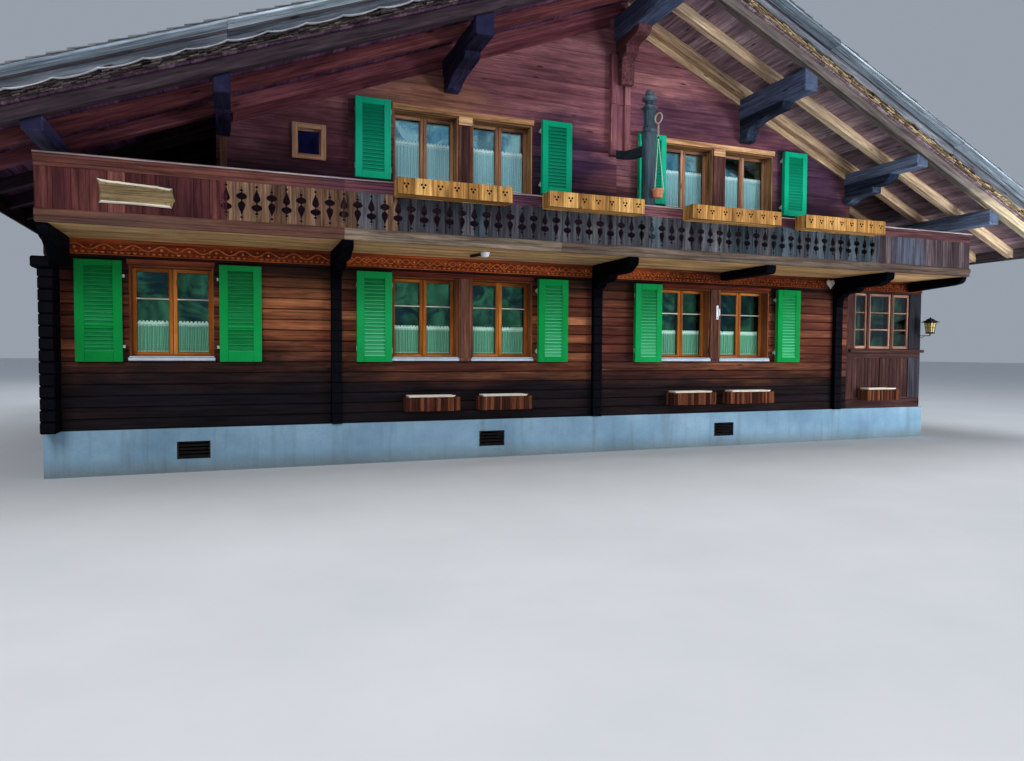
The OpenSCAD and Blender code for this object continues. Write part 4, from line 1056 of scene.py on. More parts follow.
def frieze_run(x0, x1, period, crossed, teeth):
    L = x1 - x0
    box(M, x0, x1, -0.014, 0, 2.89, 3.09, "x", 0.002)
    box(M, x0, x1, -0.028, -0.014, 3.056, 3.088, "x", 0.003, tone=0.9)
    box(M, x0, x1, -0.027, -0.014, 2.891, 2.901, "x", 0.002, mat=1, tone=.4)
    n = max(1, round(L / period))
    p = L / n
    z0, z1 = (2.950, 3.034)
    zc, za = (z0 + z1) / 2, (z1 - z0) / 2 - .006
    xs = np.linspace(x0 + .004, x1 - .004, n * 12 + 1)
    for sgn in ((1, -1) if crossed else (1,)):
        zs = zc - sgn * za * np.cos(2 * math.pi * (xs - x0) / p)
        tube(M, [(float(x), -.0165 - .003 * sgn * float(np.sin(4 * math.pi * (x - x0) / p)), float(z)) for x, z in zip(xs, zs)], .0085, 6, mat=1, tone=.55)
    for i in range(n):
        a, m = x0 + i * p, x0 + (i + .5) * p
        if crossed:
            lathe(M, [(0.019, 0), (0.019, 0.006), (0.010, 0.012)][::-1], (m, -0.026, zc), 10, axis="y", tone=0.8, mat=1)
        else:
            lathe(M, [(0.018, 0), (0.018, 0.006), (0.009, 0.012)][::-1], (m, -0.026, z0 + .028), 10, axis="y", tone=0.8, mat=1)
            lathe(M, [(0.015, 0), (0.015, 0.006), (0.008, 0.011)][::-1], (a + 0.022, -0.025, z1 - 0.024), 8, axis="y", tone=0.6, mat=1)
            for u in (.25, .75):
                tube(M, [(a + p * u - .012, -.0155, z0 + .004), (a + p * u, -.018, z0 + .016), (a + p * u + .010, -.0155, z0 + .036)], .0055, 6, mat=1, tone=.3)
    q = teeth
    k = int(L / q)
    for i in range(k):
        a = x0 + (i + .5) * L / k
        prism(M, [(a - q * .30, 2.934), (a + q * .30, 2.934), (a + q * .30, 2.922), (a, 2.904), (a - q * .30, 2.922)], "y", -0.027, -0.014, 0, gdir=(1, 0, 0), tone=0.6, mat=1)


frieze_run(LX + WT, CW[1][0], 0.33, False, 0.075)
frieze_run(CW[1][1], CW[2][0], 0.24, True, 0.075)
frieze_run(CW[2][1], CW[3][0], 0.20, False, 0.075)
frieze_run(CW[3][1], RX, 0.20, False, 0.075)
M.build("carved_frieze", [W["frieze"], W["frieze_hi"]], replaces="frieze", slot="carved_timber")

# ---------------------------------------------------------------- veranda
VL = [(5.46, 5.78), (5.84, 6.39), (6.45, 6.88)]
VS = [(.26, .88), (.96, 1.58), (1.66, 2.24)]
M = Mesh()
PANES = Mesh()


def veranda_wall(F, gd, u0, u1, lights, panels, top, th):
    """F maps (u, depth, z); gd is the direction of u."""
    def bx(a, b, d0, d1, z0, z1, along=True, r=0.004, **k):
        p = F(np.array([a, b]), np.array([d0, d1]), np.array([z0, z1]))
        lo, hi = np.minimum(p[0], p[1]), np.maximum(p[0], p[1])
        g = ("x" if gd[0] else "y") if along else "z"
        box(M, lo[0], hi[0], lo[1], hi[1], lo[2], hi[2], g, r, **k)
    edges = [u0] + [e for l in lights for e in l] + [u1]
    for a, b in zip(edges[0::2], edges[1::2]):
        bx(a, b, 0, th, 1.76, 2.84, False, 0.006, mat=2 if (b == u1 if gd[0] else a == u0) else 0)
    bx(u0, u1, 0, th, 2.84, top, True, 0.006)
    bx(u0, u1, 0, th, 1.60, 1.76, True, 0.006)
    bx(u0, u1, 0, th, PZ, 0.78, True, 0.006)
    e2 = [u0] + [e for l in panels for e in l] + [u1]
    for a, b in zip(e2[0::2], e2[1::2]):
        bx(a, b, 0, th, 0.78, 1.60, False, 0.006, mat=2 if (b == u1 if gd[0] else a == u0) else 0)
    for a, b in panels:
        n = max(3, round((b - a) / 0.095))
        for i in range(n):
            bx(a + (b - a) * i / n + .001, a + (b - a) * (i + 1) / n - .001, 0.022, th - 0.005, 0.781, 1.599, False, 0.006)
        for z in (0.78, 1.575):
            bx(a, b, 0.006, 0.022, z, z + 0.025, True, 0.004, tone=0.9)
    for a, b in lights:
        # casement with two bars
        for p, q in ((a, a + .042), (b - .042, b)):
            bx(p, q, 0.022, 0.066, 1.765, 2.835, False, 0.005, mat=1)
        for z0, z1 in ((1.765, 1.815), (2.79, 2.835)):
            bx(a + .042, b - .042, 0.022, 0.066, z0, z1, True, 0.005, mat=1)
        for z in (2.135, 2.47):
            bx(a + .042, b - .042, 0.028, 0.060, z - .011, z + .011, True, 0.004, mat=1)
        p = F(np.array([a + .03, b - .03]), np.array([0.042, 0.046]), np.array([1.80, 2.80]))
        lo, hi = np.minimum(p[0], p[1]), np.maximum(p[0], p[1])
        box(PANES, lo[0], hi[0], lo[1], hi[1], lo[2], hi[2], "z", 0)


veranda_wall(FRONT, (1, 0, 0), VX0, RX, VL, [(5.46, 6.13), (6.21, 6.88)], F2U, 0.09)
veranda_wall(RIGHT, (0, 1, 0), 0.09, VD, VS, [(.26, 1.20), (1.30, 2.24)], F2U, 0.09)
prism(M, [(0, 1.69), (-.044, 1.69), (-.05, 1.70), (-.05, 1.738), (-.04, 1.75), (0, 1.75)], "x", VX0 + .06, RX + .05, 0.003, tone=0.8)
prism(M, [(RX, 1.69), (RX + .05, 1.69), (RX + .05, 1.745), (RX, 1.75)], "y", -.0, VD, 0.003, tone=0.8)
M.build("veranda_joinery", [W["veranda"], W["vsash"], W["vpost"]], replaces="veranda_frame", slot="carved_timber")
PANES.build("veranda_panes", [GLASS_C], slot="glass")

# ---------------------------------------------------------------- balcony
M = Mesh()
cuts = [BAL_L, JOINS[0], JOINS[1], 2.39, JOINS[2], BAL_R]
for i in range(8):
    for a, b in zip(cuts, cuts[1:]):
        box(M, a + .001, b - .001, -BAL_D + 0.15 * i + .002, -BAL_D + 0.15 * (i + 1) - .002, BAL_Z, BT, "x", 0.004, cap=0)
M.build("balcony_soffit_boards", [W["soffit"]], replaces="balcony_floor", slot="floor_timber")

M = Mesh()
for b in BB:
    prism(M, [(0, 2.951), (-1.16, 2.951), (-1.19, 2.958), (-1.212, 2.975), (-1.228, 3.01), (-1.23, BAL_Z), (0, BAL_Z)], "x", b[0], b[1], 0.007, gdir=(0, 1, 0))
prism(M, [(-.045, 2.89), (-.045, 2.71), (-.30, 2.702), (-.56, 2.71), (-.64, 2.745), (-.70, 2.79), (-.78, 2.838), (-.86, 2.866), (-.93, 2.91), (-1.05, 2.935),
          (-1.13, 2.97), (-1.18, 3.03), (-1.19, BAL_Z), (-.045, BAL_Z)], "x", BAL_L + .005, BAL_L + .125, 0.006, gdir=(0, 1, 0))
prism(M, [(-.045, 2.90), (-.24, 2.905), (-.60, 2.928), (-.98, 2.95), (-1.12, 2.975), (-1.165, 3.01), (-1.18, 3.04), (-1.195, BAL_Z), (-.045, BAL_Z)], "x", BAL_R - .125, BAL_R - .005, 0.006, gdir=(0, 1, 0))
M.build("balcony_consoles", [W["dark"]], replaces="balcony_beams", slot="dark_timber")

M = Mesh()
TOPM = [(-1.20, 0), (-1.232, 0), (-1.232, .042), (-1.240, .047), (-1.248, .052), (-1.248, .092), (-1.256, .097), (-1.266, .104), (-1.266, .128), (-1.281, .134), (-1.281, .152), (-1.277, .16), (-1.146, .16), (-1.14, .154), (-1.14, .11), (-1.20, .11)]
LOWM = [(-1.20, 0), (-1.234, 0), (-1.24, .006), (-1.24, .056), (-1.252, .064), (-1.258, .074), (-1.258, .126), (-1.248, .138), (-1.236, .15), (-1.20, .15)]
joins = [BAL_L, -4.43, -1.37, 1.37, 4.70, BAL_R]
for a, b in zip(joins, joins[1:]):
    t = float(RNG.random())
    prism(M, [(y, z + RAIL_Z - .16) for y, z in TOPM], "x", a, b - .0015, 0.0015, tone=t)
    prism(M, [(y, z + BAL_Z) for y, z in LOWM], "x", a, b - .0015, 0.0015, tone=float(RNG.random()), mat=3 if a < -5 else 1)
    prism(M, [(-1.284, RAIL_Z - .026), (-1.2812, RAIL_Z - .026), (-1.2812, RAIL_Z - .008), (-1.284, RAIL_Z - .008)], "x", a, b - .0015, 0.0008, mat=2)
for x0, x1 in ((BAL_L, BAL_L + .06), (BAL_R - .06, BAL_R)):
    box(M, x0, x1, -1.138, 0, RAIL_Z - .05, RAIL_Z, "y", 0.006)
    box(M, x0, x1, -1.138, 0, BT, BT + .08, "y", 0.006)
# posts behind the boards take the shaded rafter timber: painted shade
for x in (-7.77, -5.92, -4.43, -2.90, -1.37, 1.37, 2.90, 4.70, 5.80, 6.83):
    box(M, x - .035, x + .035, -1.20, -1.14, BT, RAIL_Z - .05, "z", 0.006, mat=4)
M.build("balcony_mouldings", [W["rail"], W["lowband"], W["rail_edge"], W["lowband_l"], W["rafter_in"]], replaces="balcony_rails", slot="rail_timber")

M = Mesh()
Z0, Z1 = BAL_Z + .15, RAIL_Z - .16
Y0, Y1 = -1.23, -1.20


def motif(flip):
    """Half width of the cut at each height, from the board's foot (0) to its head (0.47)."""
    zs, ws = [], []

    def e(z, w):
        zs.append(z)
        ws.append(w)

    def oval(c, h, w, n=6, base=0.0):
        for i in range(n + 1):
            t = -1 + 2 * i / n
            e(c + t * h, max(base, w * math.sqrt(max(0, 1 - t * t))))
    e(0.026, 0.0)
    oval(0.046, 0.017, 0.0175, 4)
    e(0.066, 0.0)
    e(0.072, 0.0)
    # drop, its point down
    for z, w in ((0.080, 0.006), (0.105, 0.013), (0.130, 0.023), (0.155, 0.033), (0.178, 0.041), (0.196, 0.044), (0.212, 0.041), (0.226, 0.030), (0.236, 0.017), (0.243, 0.009)):
        e(z, w)
    e(0.256, 0.0085)
    # two side lobes
    for z, w in ((0.262, 0.016), (0.268, 0.036), (0.276, 0.052), (0.290, 0.062), (0.304, 0.064), (0.318, 0.059), (0.330, 0.046), (0.337, 0.030), (0.344, 0.014)):
        e(z, w)
    e(0.352, 0.0085)
    oval(0.373, 0.019, 0.020, 4, 0.0)
    e(0.393, 0.0)
    e(0.398, 0.0)
    e(0.400, 0.008)
    e(0.414, 0.009)
    e(0.418, 0.0)
    zs, ws = np.array(zs), np.array(ws)
    if flip:
        zs, ws = (0.47 - zs)[::-1], ws[::-1]
    return zs, ws


MA, MB_ = motif(False), motif(True)
PITCH = 0.177


def fret_board(M, xl, xr, ml, mr, mat, tone):
    """ml and mr are the motifs cut from the left and right edges, or None."""
    g = 0.0018
    zs = sorted({0.0, 0.47, *[float(z) for m in (ml, mr) if m is not None for z in m[0]]})
    # drop levels that are closer than a tenth of a millimetre
    lv = [zs[0]]
    for z in zs[1:]:
        if z - lv[-1] > 1e-4:
            lv.append(z)
    lv = np.array(lv)
    L = xl + np.maximum(g, np.interp(lv, *ml) if ml is not None else 0)
    R = xr - np.maximum(g, np.interp(lv, *mr) if mr is not None else 0)
    z = Z0 + lv * (Z1 - Z0) / 0.47
    n = len(lv)
    V = np.zeros((4 * n, 3))
    for j, (xx, yy) in enumerate(((L, Y0), (R, Y0), (R, Y1), (L, Y1))):
        V[j::4, 0], V[j::4, 1], V[j::4, 2] = xx, yy, z
    F = []
    for i in range(n - 1):
        for j in range(4):
            F.append([4 * i + j, 4 * i + (j + 1) % 4, 4 * (i + 1) + (j + 1) % 4, 4 * (i + 1) + j])
    F += [[3, 2, 1, 0], [4 * (n - 1) + j for j in range(4)]]
    M.add(V, F, mat=mat, gdir=(0, 0, 1), tone=tone)


x = BAL_L
nb = round((-5.84 - BAL_L) / 0.18)
for i in range(nb):
    a, b = BAL_L + (-5.84 - BAL_L) * i / nb, BAL_L + (-5.84 - BAL_L) * (i + 1) / nb
    d = float(RNG.random()) * 0.003
    if i < nb - 1:
        box(M, a + .0015, b - .0015, Y0 + d, Y1, Z0, Z1, "z", 0.004)
    else:
        fret_board(M, a, b, None, MB_, 0, float(RNG.random()))
nf = round((4.70 + 5.84) / PITCH)
p = (4.70 + 5.84) / nf
for i in range(nf):
    a, b = -5.84 + i * p, -5.84 + (i + 1) * p
    ml = MB_ if i % 2 == 0 else MA
    mr = (MA if i % 2 == 0 else MB_) if i < nf - 1 else None
    redness = max(0.0, 1 - i / 12)
    pick = float(RNG.random())
    fret_board(M, a, b, ml, mr, 3 if pick < redness * 1.6 else 4 if pick < (i / nf - .25) * 1.1 else 1, float(RNG.random()))
nb = round((BAL_R - 4.70) / 0.135)
for i in range(nb):
    a, b = 4.70 + (BAL_R - 4.70) * i / nb, 4.70 + (BAL_R - 4.70) * (i + 1) / nb
    d = float(RNG.random()) * 0.003
    box(M, a + .0015, b - .0015, Y0 + d, Y1, Z0, Z1, "z", 0.004, mat=2)
for x0, x1 in ((BAL_L, BAL_L + .03), (BAL_R - .03, BAL_R)):
    for i in range(8):
        a, b = -1.138 + 1.138 * i / 8, -1.138 + 1.138 * (i + 1) / 8
        box(M, x0, x1, a + .0015, b - .0015, BT + .08, RAIL_Z - .05, "z", 0.003, mat=0 if x0 < 0 else 2)
M.build("balcony_fretwork", [W["boards_l"], W["fret"], W["boards_r"], W["fret_brown"], W["fret_blue"]], replaces="balcony_boards", slot="board_timber")

# carved balcony post, with its arm
M = Mesh()
PX, PY = 0.17, -1.05


def sq(h, c):
    return [(PX - h + c, PY - h), (PX + h - c, PY - h), (PX + h, PY - h + c), (PX + h, PY + h - c), (PX + h - c, PY + h), (PX - h + c, PY + h), (PX - h, PY + h - c), (PX - h, PY - h + c)]


def stack(M, levels, mat=0, tone=None):
    """levels are (half width, corner cut, height); one closed body."""
    rings = [np.array(sq(h, c)) for h, c, z in levels]
    n = 8
    V = np.concatenate([np.column_stack([r, np.full(n, z)]) for r, (h, c, z) in zip(rings, levels)])
    F = [[j * n + i, j * n + (i + 1) % n, (j + 1) * n + (i + 1) % n, (j + 1) * n + i] for j in range(len(levels) - 1) for i in range(n)]
    F += [list(range(n))[::-1], [(len(levels) - 1) * n + i for i in range(n)]]
    M.add(V, F, mat=mat, gdir=(0, 0, 1), tone=tone)


stack(M, [(.09, .012, BT), (.09, .012, 3.30), (.09, .034, 3.36), (.09, .034, 4.86), (.09, .012, 4.92), (.09, .012, 4.998)])
stack(M, [(.094, .02, 5.0), (.113, .03, 5.022), (.113, .03, 5.036), (.088, .03, 5.058)], tone=1.0)
stack(M, [(.078, .02, 5.058), (.078, .02, 5.09), (.066, .02, 5.12), (.066, .02, 5.30), (.078, .02, 5.335), (.078, .02, 5.36)])
for sx, sy in ((1, 0), (-1, 0), (0, 1), (0, -1)):
    # ribs that leave an arched field on each face
    for s in (-1, 1):
        cx, cy = PX + sx * .066 + sy * s * .05, PY + sy * .066 + sx * s * .05
        box(M, cx - .010, cx + .010, cy - .010, cy + .010, 5.10, 5.33, "z", 0.003, tone=0.8)
stack(M, [(.080, .03, 5.36), (.104, .03, 5.378), (.104, .03, 5.39), (.074, .03, 5.41)], tone=1.0)
stack(M, [(.060, .02, 5.41), (.054, .02, 5.45), (.060, .02, 5.48)])
stack(M, [(.070, .03, 5.48), (.098, .03, 5.50), (.098, .03, 5.53), (.066, .03, 5.556)], tone=1.0)
lathe(M, [(.040, 5.556), (.058, 5.575), (.064, 5.60), (.056, 5.63), (.030, 5.652), (.004, 5.66)], (PX, PY, 0), 16)
prism(M, [(-.975, 4.70), (-.975, 4.85), (-.70, 4.862), (-.40, 4.90), (-.09, 4.99), (-.09, 4.85), (-.28, 4.79), (-.50, 4.74), (-.74, 4.708)], "x", .13, .21, 0.008, gdir=(0, 1, 0))
M.build("carved_post", [W["carved"]], replaces="balcony_post", slot="carved_timber", smooth=None)

# hanging planter: ring, chain, three cords, pot
M = Mesh()
HX = 0.217
C = np.array([HX, -1.24, 0])
torus(M, (HX, -1.24, 5.18), 0.074, 0.011, (0.983, 0.182, 0), 36, 10, mat=0)
tube(M, [(HX, -1.115, 5.18), (HX, -1.150, 5.18), (HX, -1.166, 5.172), (HX, -1.170, 5.160)], 0.008, 8, mat=1)
z = 5.085
k = 0
while z > 4.90:
    torus(M, (HX, -1.24, z), 0.012, 0.0045, (1, 0, 0) if k % 2 else (0, 1, 0), 14, 6, mat=0, squash=1.6)
    z -= 0.028
    k += 1
top = np.array([HX, -1.24, 4.895])
for i in range(3):
    a = math.radians(90 + 120 * i)
    end = C + np.array([0.088 * math.cos(a), 0.088 * math.sin(a), 4.115])
    pts = [top + (end - top) * t + np.array([0, 0, -0.012 * math.sin(math.pi * t)]) for t in np.linspace(0, 1, 9)]
    tube(M, pts, 0.0055, 6, mat=2)
lathe(M, [(.012, 4.872), (.017, 4.888), (.012, 4.905)], (HX, -1.24, 0), 10, mat=1)
lathe(M, [(.058, 3.990), (.066, 3.993), (.072, 4.00), (.086, 4.085), (.094, 4.09), (.095, 4.118), (.086, 4.12), (.082, 4.098), (.006, 4.096)], (HX, -1.24, 0), 28, mat=3)
M.build("planter_hanging", [CHAIN, IRON, ROPE, CLAY], replaces="hanging_planter", slot="planter", smooth=40)

# ---------------------------------------------------------------- gable trim
M = Mesh()
for a, b, d in ((.04, .145, -.09), (.150, .290, -.052), (.295, .40, -.09)):
    for z0, z1 in ((4.90, 5.74), (5.744, 6.56)):
        box(M, a, b, d, 0, z0, z1, "z", 0.007)
con = [(-.092, 6.04), (-.17, 6.04), (-.20, 6.07), (-.21, 6.25), (-.215, 6.43), (-.25, 6.47), (-.33, 6.50), (-.345, 6.56), (-.35, 6.61), (-.45, 6.64), (-.60, 6.655), (-.70, 6.69), (-.75, pbot(PR[0])), (-.002, pbot(PR[0])), (-.002, 6.562), (-.092, 6.562)]
prism(M, con, "x", RIDGE_X - .12, RIDGE_X + .12, 0.008, gdir=(0, 1, 0), mat=1)
box(M, UL + .04, UL + .135, -.024, 0, F2, 3.92, "z", 0.004, mat=3, tone=0.2)
box(M, UL + .04, UL + .135, -.024, 0, 3.921, 4.565, "z", 0.004, mat=5, tone=0.7)
# boards along the left slope take the dark rafter timber, along the right the pale one: painted shade and painted light
for a, b, mt in ((-5.76, -2.80, 3), (-2.52, .03, 3), (.44, 2.64, 4), (2.92, 5.09, 4)):
    prism(M, [(a, float(zr(a)) - .12), (b, float(zr(b)) - .12), (b, float(zr(b)) - .003), (a, float(zr(a)) - .003)], "y", -.045, 0, 0.006,
          gdir=(1, 0, float(zr(b) - zr(a)) / (b - a)), mat=mt)
M.build("gable_boards", [W["log_upper"], W["console_red"], W["trim"], W["rafter_dark"], W["rafter"], W["cpost"]], replaces="gable_trim", slot="log_upper")

# ---------------------------------------------------------------- roof frame
M = Mesh()
for i, q in enumerate(PR):
    a, b, _ = q
    z = pbot(q)
    poly = [(a, z), (b, z), (b, float(zr(b)))] + ([(RIDGE_X, RIDGE_Z)] if a < RIDGE_X < b else []) + [(a, float(zr(a)))]
    left = i in (1, 3, 5)
    # left purlins take the darker timber, painted shade; the others the paler one, painted light
    prism(M, poly, "y", -1.60, D + 1.60, 0.012, mat=2 if left else 0, cap=3 if left else 1)
M.build("purlin_logs", [W["purlin"], W["end_pale"], W["purlin_l"], W["end_left"]], replaces="purlins", slot="purlin_timber")

M = Mesh()
for s in (0, 1):
    fy = (lambda y: y) if s == 0 else (lambda y: D - y)
    for i in (1, 2):
        z = pbot(PR[i])
        x0, x1 = PR[i][0] + .015, PR[i][1] - .015
        upper = [(0, -.12), (-.70, -.118), (-.90, -.112), (-1.02, -.105), (-1.065, -.075), (-1.085, -.03), (-1.09, 0), (0, 0)]
        lower = [(0, -.42), (-.10, -.42), (-.165, -.41), (-.195, -.36), (-.205, -.30), (-.23, -.25), (-.29, -.205), (-.37, -.17), (-.46, -.15), (-.60, -.128), (-.70, -.121), (0, -.121)]
        if i == 1:
            lower = [(0, -.24), (-.11, -.24), (-.165, -.235), (-.20, -.21), (-.25, -.182), (-.33, -.16), (-.45, -.138), (-.60, -.125), (-.70, -.121), (0, -.121)]
        # the left bracket takes the darker purlin timber: painted shade
        prism(M, [(fy(y), z + h) for y, h in upper], "x", x0, x1, 0.008, gdir=(0, 1, 0), cap=None, mat=1 if i == 1 else 0)
        prism(M, [(fy(y), z + h) for y, h in lower], "x", x0 + .005, x1 - .005, 0.008, gdir=(0, 1, 0), mat=1 if i == 1 else 0)
    for i in (3, 4):
        z = pbot(PR[i])
        x0, x1 = PR[i][0] + .01, PR[i][1] - .01
        if i == 3:
            prism(M, [(fy(y), z + h) for y, h in ((0, -.06), (-.60, -.058), (-.74, -.053), (-.85, -.045), (-.92, -.032), (-.96, -.02), (-1.0, 0), (0, 0))], "x", x0, x1, 0.006, gdir=(0, 1, 0), mat=1)
            continue
        upper = [(0, -.15), (-.66, -.15), (-.80, -.145), (-.90, -.132), (-.975, -.10), (-1.02, -.05), (-1.04, 0), (0, 0)]
        lower = [(0, -.37), (-.07, -.368), (-.12, -.35), (-.17, -.31), (-.23, -.285), (-.30, -.272), (-.45, -.262), (-.66, -.255), (-.66, -.152), (0, -.152)]
        prism(M, [(fy(y), z + h) for y, h in upper], "x", x0, x1, 0.008, gdir=(0, 1, 0))
        prism(M, [(fy(y), z + h) for y, h in lower], "x", x0 + .004, x1 - .004, 0.008, gdir=(0, 1, 0))
M.build("purlin_brackets", [W["bracket"], W["purlin_l"]], replaces="purlin_consoles", slot="purlin_timber")


def slope_poly(x0, x1, a, b):
    return [(x0, float(zr(x0)) + a), (x1, float(zr(x1)) + a), (x1, float(zr(x1)) + b), (x0, float(zr(x0)) + b)]


M = Mesh()
for k, (y0, y1) in enumerate(FR):
    for rear in (0, 1):
        a, b = (y0, y1) if not rear else (D - y1, D - y0)
        # left rafters take darker copies, right ones the pale rafter timber: painted shade and painted light
        prism(M, slope_poly(EL, RIDGE_X - .001, 0, RAF), "y", a, b, 0.008, gdir=(1, 0, SL), mat=(2, 1, 3)[k], cap=None)
        prism(M, slope_poly(RIDGE_X + .001, ER, 0, RAF), "y", a, b, 0.008, gdir=(1, 0, -SR), mat=(0, 0, 4)[k], cap=None)
M.build("rafters_outer", [W["rafter"], W["rafter_red"], W["rafter_dark"], W["rafter_grey"], W["rafter_out"]], replaces="rafters_gable", slot="rafter_timber")
M = Mesh()
for k in range(9):
    y = .98 + k * .955
    # inner rafters: shaded copy on the left, pale copy on the right: painted shade and painted light
    prism(M, slope_poly(EL, RIDGE_X - .001, 0, RAF), "y", y - .065, y + .065, 0.006, gdir=(1, 0, SL), mat=1)
    prism(M, slope_poly(RIDGE_X + .001, ER, 0, RAF), "y", y - .065, y + .065, 0.006, gdir=(1, 0, -SR))
M.build("rafters_house", [W["rafter"], W["rafter_in"]], replaces="rafters_inner", slot="rafter_timber")

M = Mesh()
ys = [-BV, 2.20, 6.40, D + BV]
for side in (0, 1):
    xe, s = (EL, SL) if side == 0 else (ER, SR)
    xr = RIDGE_X + (-.001 if side == 0 else .001)
    n = int(abs(xe - xr) / 0.165)
    for i in range(n):
        a = xr + (xe - xr) * i / n
        b = xr + (xe - xr) * (i + 1) / n
        lo, hi = min(a, b) + .0015, max(a, b) - .0015
        jit = [0] + list((RNG.random(2) - .5) * 1.9) + [0]
        for j in range(3):
            # left boards dark, right boards pale: painted shade and painted light
            prism(M, slope_poly(lo, hi, RAF + float(RNG.random()) * .002, RAF + .03), "y", ys[j] + jit[j] + .001, ys[j + 1] + jit[j + 1] - .001, 0.004, mat=side, cap=2)
M.build("roof_boarding", [W["roof_board"], W["roof_board_r"], W["rafter_grey"]], replaces="roof_boards", slot="roof_board_timber")

# shingle courses that show at the verges under the barge boards
M = Mesh()
for lo, hi in ((EL, RIDGE_X - .001), (RIDGE_X + .001, ER)):
    prism(M, slope_poly(lo, hi, RAF + .031, RT - .001), "y", -BV + .03, D + BV - .03, 0)
M2 = Mesh()
for side in (0, 1):
    xr, xe = (RIDGE_X - .002, EL + .01) if side == 0 else (RIDGE_X + .002, ER - .01)
    L = abs(xe - xr)
    for rear in (0, 1):
        for layer in range(5):
            z = RAF + .031 + .0155 * layer
            p = 0.0
            while p < L - .02:
                w = min(0.06 + 0.09 * float(RNG.random()), L - p)
                x0, x1 = xr + (xe - xr) * p / L, xr + (xe - xr) * (p + w - .004) / L
                x0, x1 = min(x0, x1), max(x0, x1)
                out = float(RNG.random()) ** 1.5 * 0.060 - 0.006
                y0, y1 = (-BV - out, -BV + .05) if not rear else (D + BV - .05, D + BV + out)
                th = .0145 - .003 * float(RNG.random())
                # left verge courses dark, right ones pale: painted shade and painted light
                prism(M2, slope_poly(x0, x1, z, z + th), "y", y0, y1, 0, gdir=(0, 1, 0), mat=side)
                p += w
M.build("shingle_bed_core", [W["shingle_end_dark"]], replaces="shingle_bed", slot="shingle")
M2.build("shingle_edge_courses", [W["shingle_end_dark"], W["shingle_end"]], slot="shingle")

# covering: real shingles, 0.2 m to the weather
def covering(side, name, node):
    xe, s, sg = (EL, SL, 1) if side == 0 else (ER, SR, -1)
    L = abs(xe - RIDGE_X) - .002
    hyp = math.sqrt(1 + s * s)
    LL = L * hyp
    rows = int(LL / 0.2) + 1
    V, G, T = [], [], []
    for r in range(rows):
        y = -VERGE
        while y < D + VERGE - .01:
            w = 0.085 + 0.075 * float(RNG.random())
            y1 = min(y + w, D + VERGE)
            if D + VERGE - y1 < .04:
                y1 = D + VERGE
            t0 = r * 0.2 + (float(RNG.random()) - .5) * .022
            t0 = max(0.0, t0)
            t1 = min(t0 + .285, LL)
            h = float(RNG.random())
            b0, b1 = .016 + .0015 * h, .030 + .008 * float(RNG.random())
            ya, yb = y + .001 + .002 * float(RNG.random()), y1 - .001
            if y == -VERGE:
                ya += float(RNG.random()) * .012
            if y1 == D + VERGE:
                yb -= float(RNG.random()) * .012
            box8 = []
            for (tt, z0, z1) in ((t0, b0, min(b1, .0385)), (t1, .003, .007)):
                x = xe + sg * tt / hyp
                zz = float(zr(x)) + RT
                box8 += [(x, ya, zz + z0), (x, yb, zz + z0), (x, yb, zz + z1), (x, ya, zz + z1)]
            V.append(box8)
            off = RNG.random(3) * 50
            G.append([(q[0] * hyp + off[0], q[1] + off[1], off[2] + (i % 4 > 1) * .01) for i, q in enumerate(box8)])
            T.append([float(RNG.random())] * 8)
            y = y1
    n = len(V)
    V = np.array(V).reshape(-1, 3)
    M = Mesh()
    one = np.array([[0, 1, 2, 3], [7, 6, 5, 4], [0, 4, 5, 1], [1, 5, 6, 2], [2, 6, 7, 3], [3, 7, 4, 0]])
    F = (one[None] + 8 * np.arange(n)[:, None, None]).reshape(-1, 4)
    M.add(V, F.tolist(), gc=np.array(G).reshape(-1, 3), tone=np.array(T).ravel())
    lo, hi = (EL, RIDGE_X - .001) if side == 0 else (RIDGE_X + .001, ER)
    prism(M, slope_poly(lo, hi, RT, RT + .0025), "y", -VERGE + .004, D + VERGE - .004, 0, tone=0.3)
    M.build(name, [SHINGLE], replaces=node, slot="roof_shingle")


covering(0, "shingles_left", "roof_covering_left")
covering(1, "shingles_right", "roof_covering_right")
M = Mesh()
cuts = np.linspace(-VERGE, D + VERGE, 7)
for a, b in zip(cuts, cuts[1:]):
    h = float(RNG.random()) * .004
    prism(M, slope_poly(RIDGE_X - .16, RIDGE_X - .001, RT + .0415, RT + .066 + h), "y", a + .002, b - .002, 0.005)
    prism(M, slope_poly(RIDGE_X + .001, RIDGE_X + .16, RT + .0415, RT + .066 + h), "y", a + .002, b - .002, 0.005)
    prism(M, slope_poly(RIDGE_X - .05, RIDGE_X - .0005, RT + .071, RT + .0895), "y", a + .002, b - .002, 0.003)
    prism(M, slope_poly(RIDGE_X + .0005, RIDGE_X + .05, RT + .071, RT + .0895), "y", a + .002, b - .002, 0.003)
M.build("ridge_boards", [W["barge"]], replaces="ridge_cap", slot="roof_shingle")

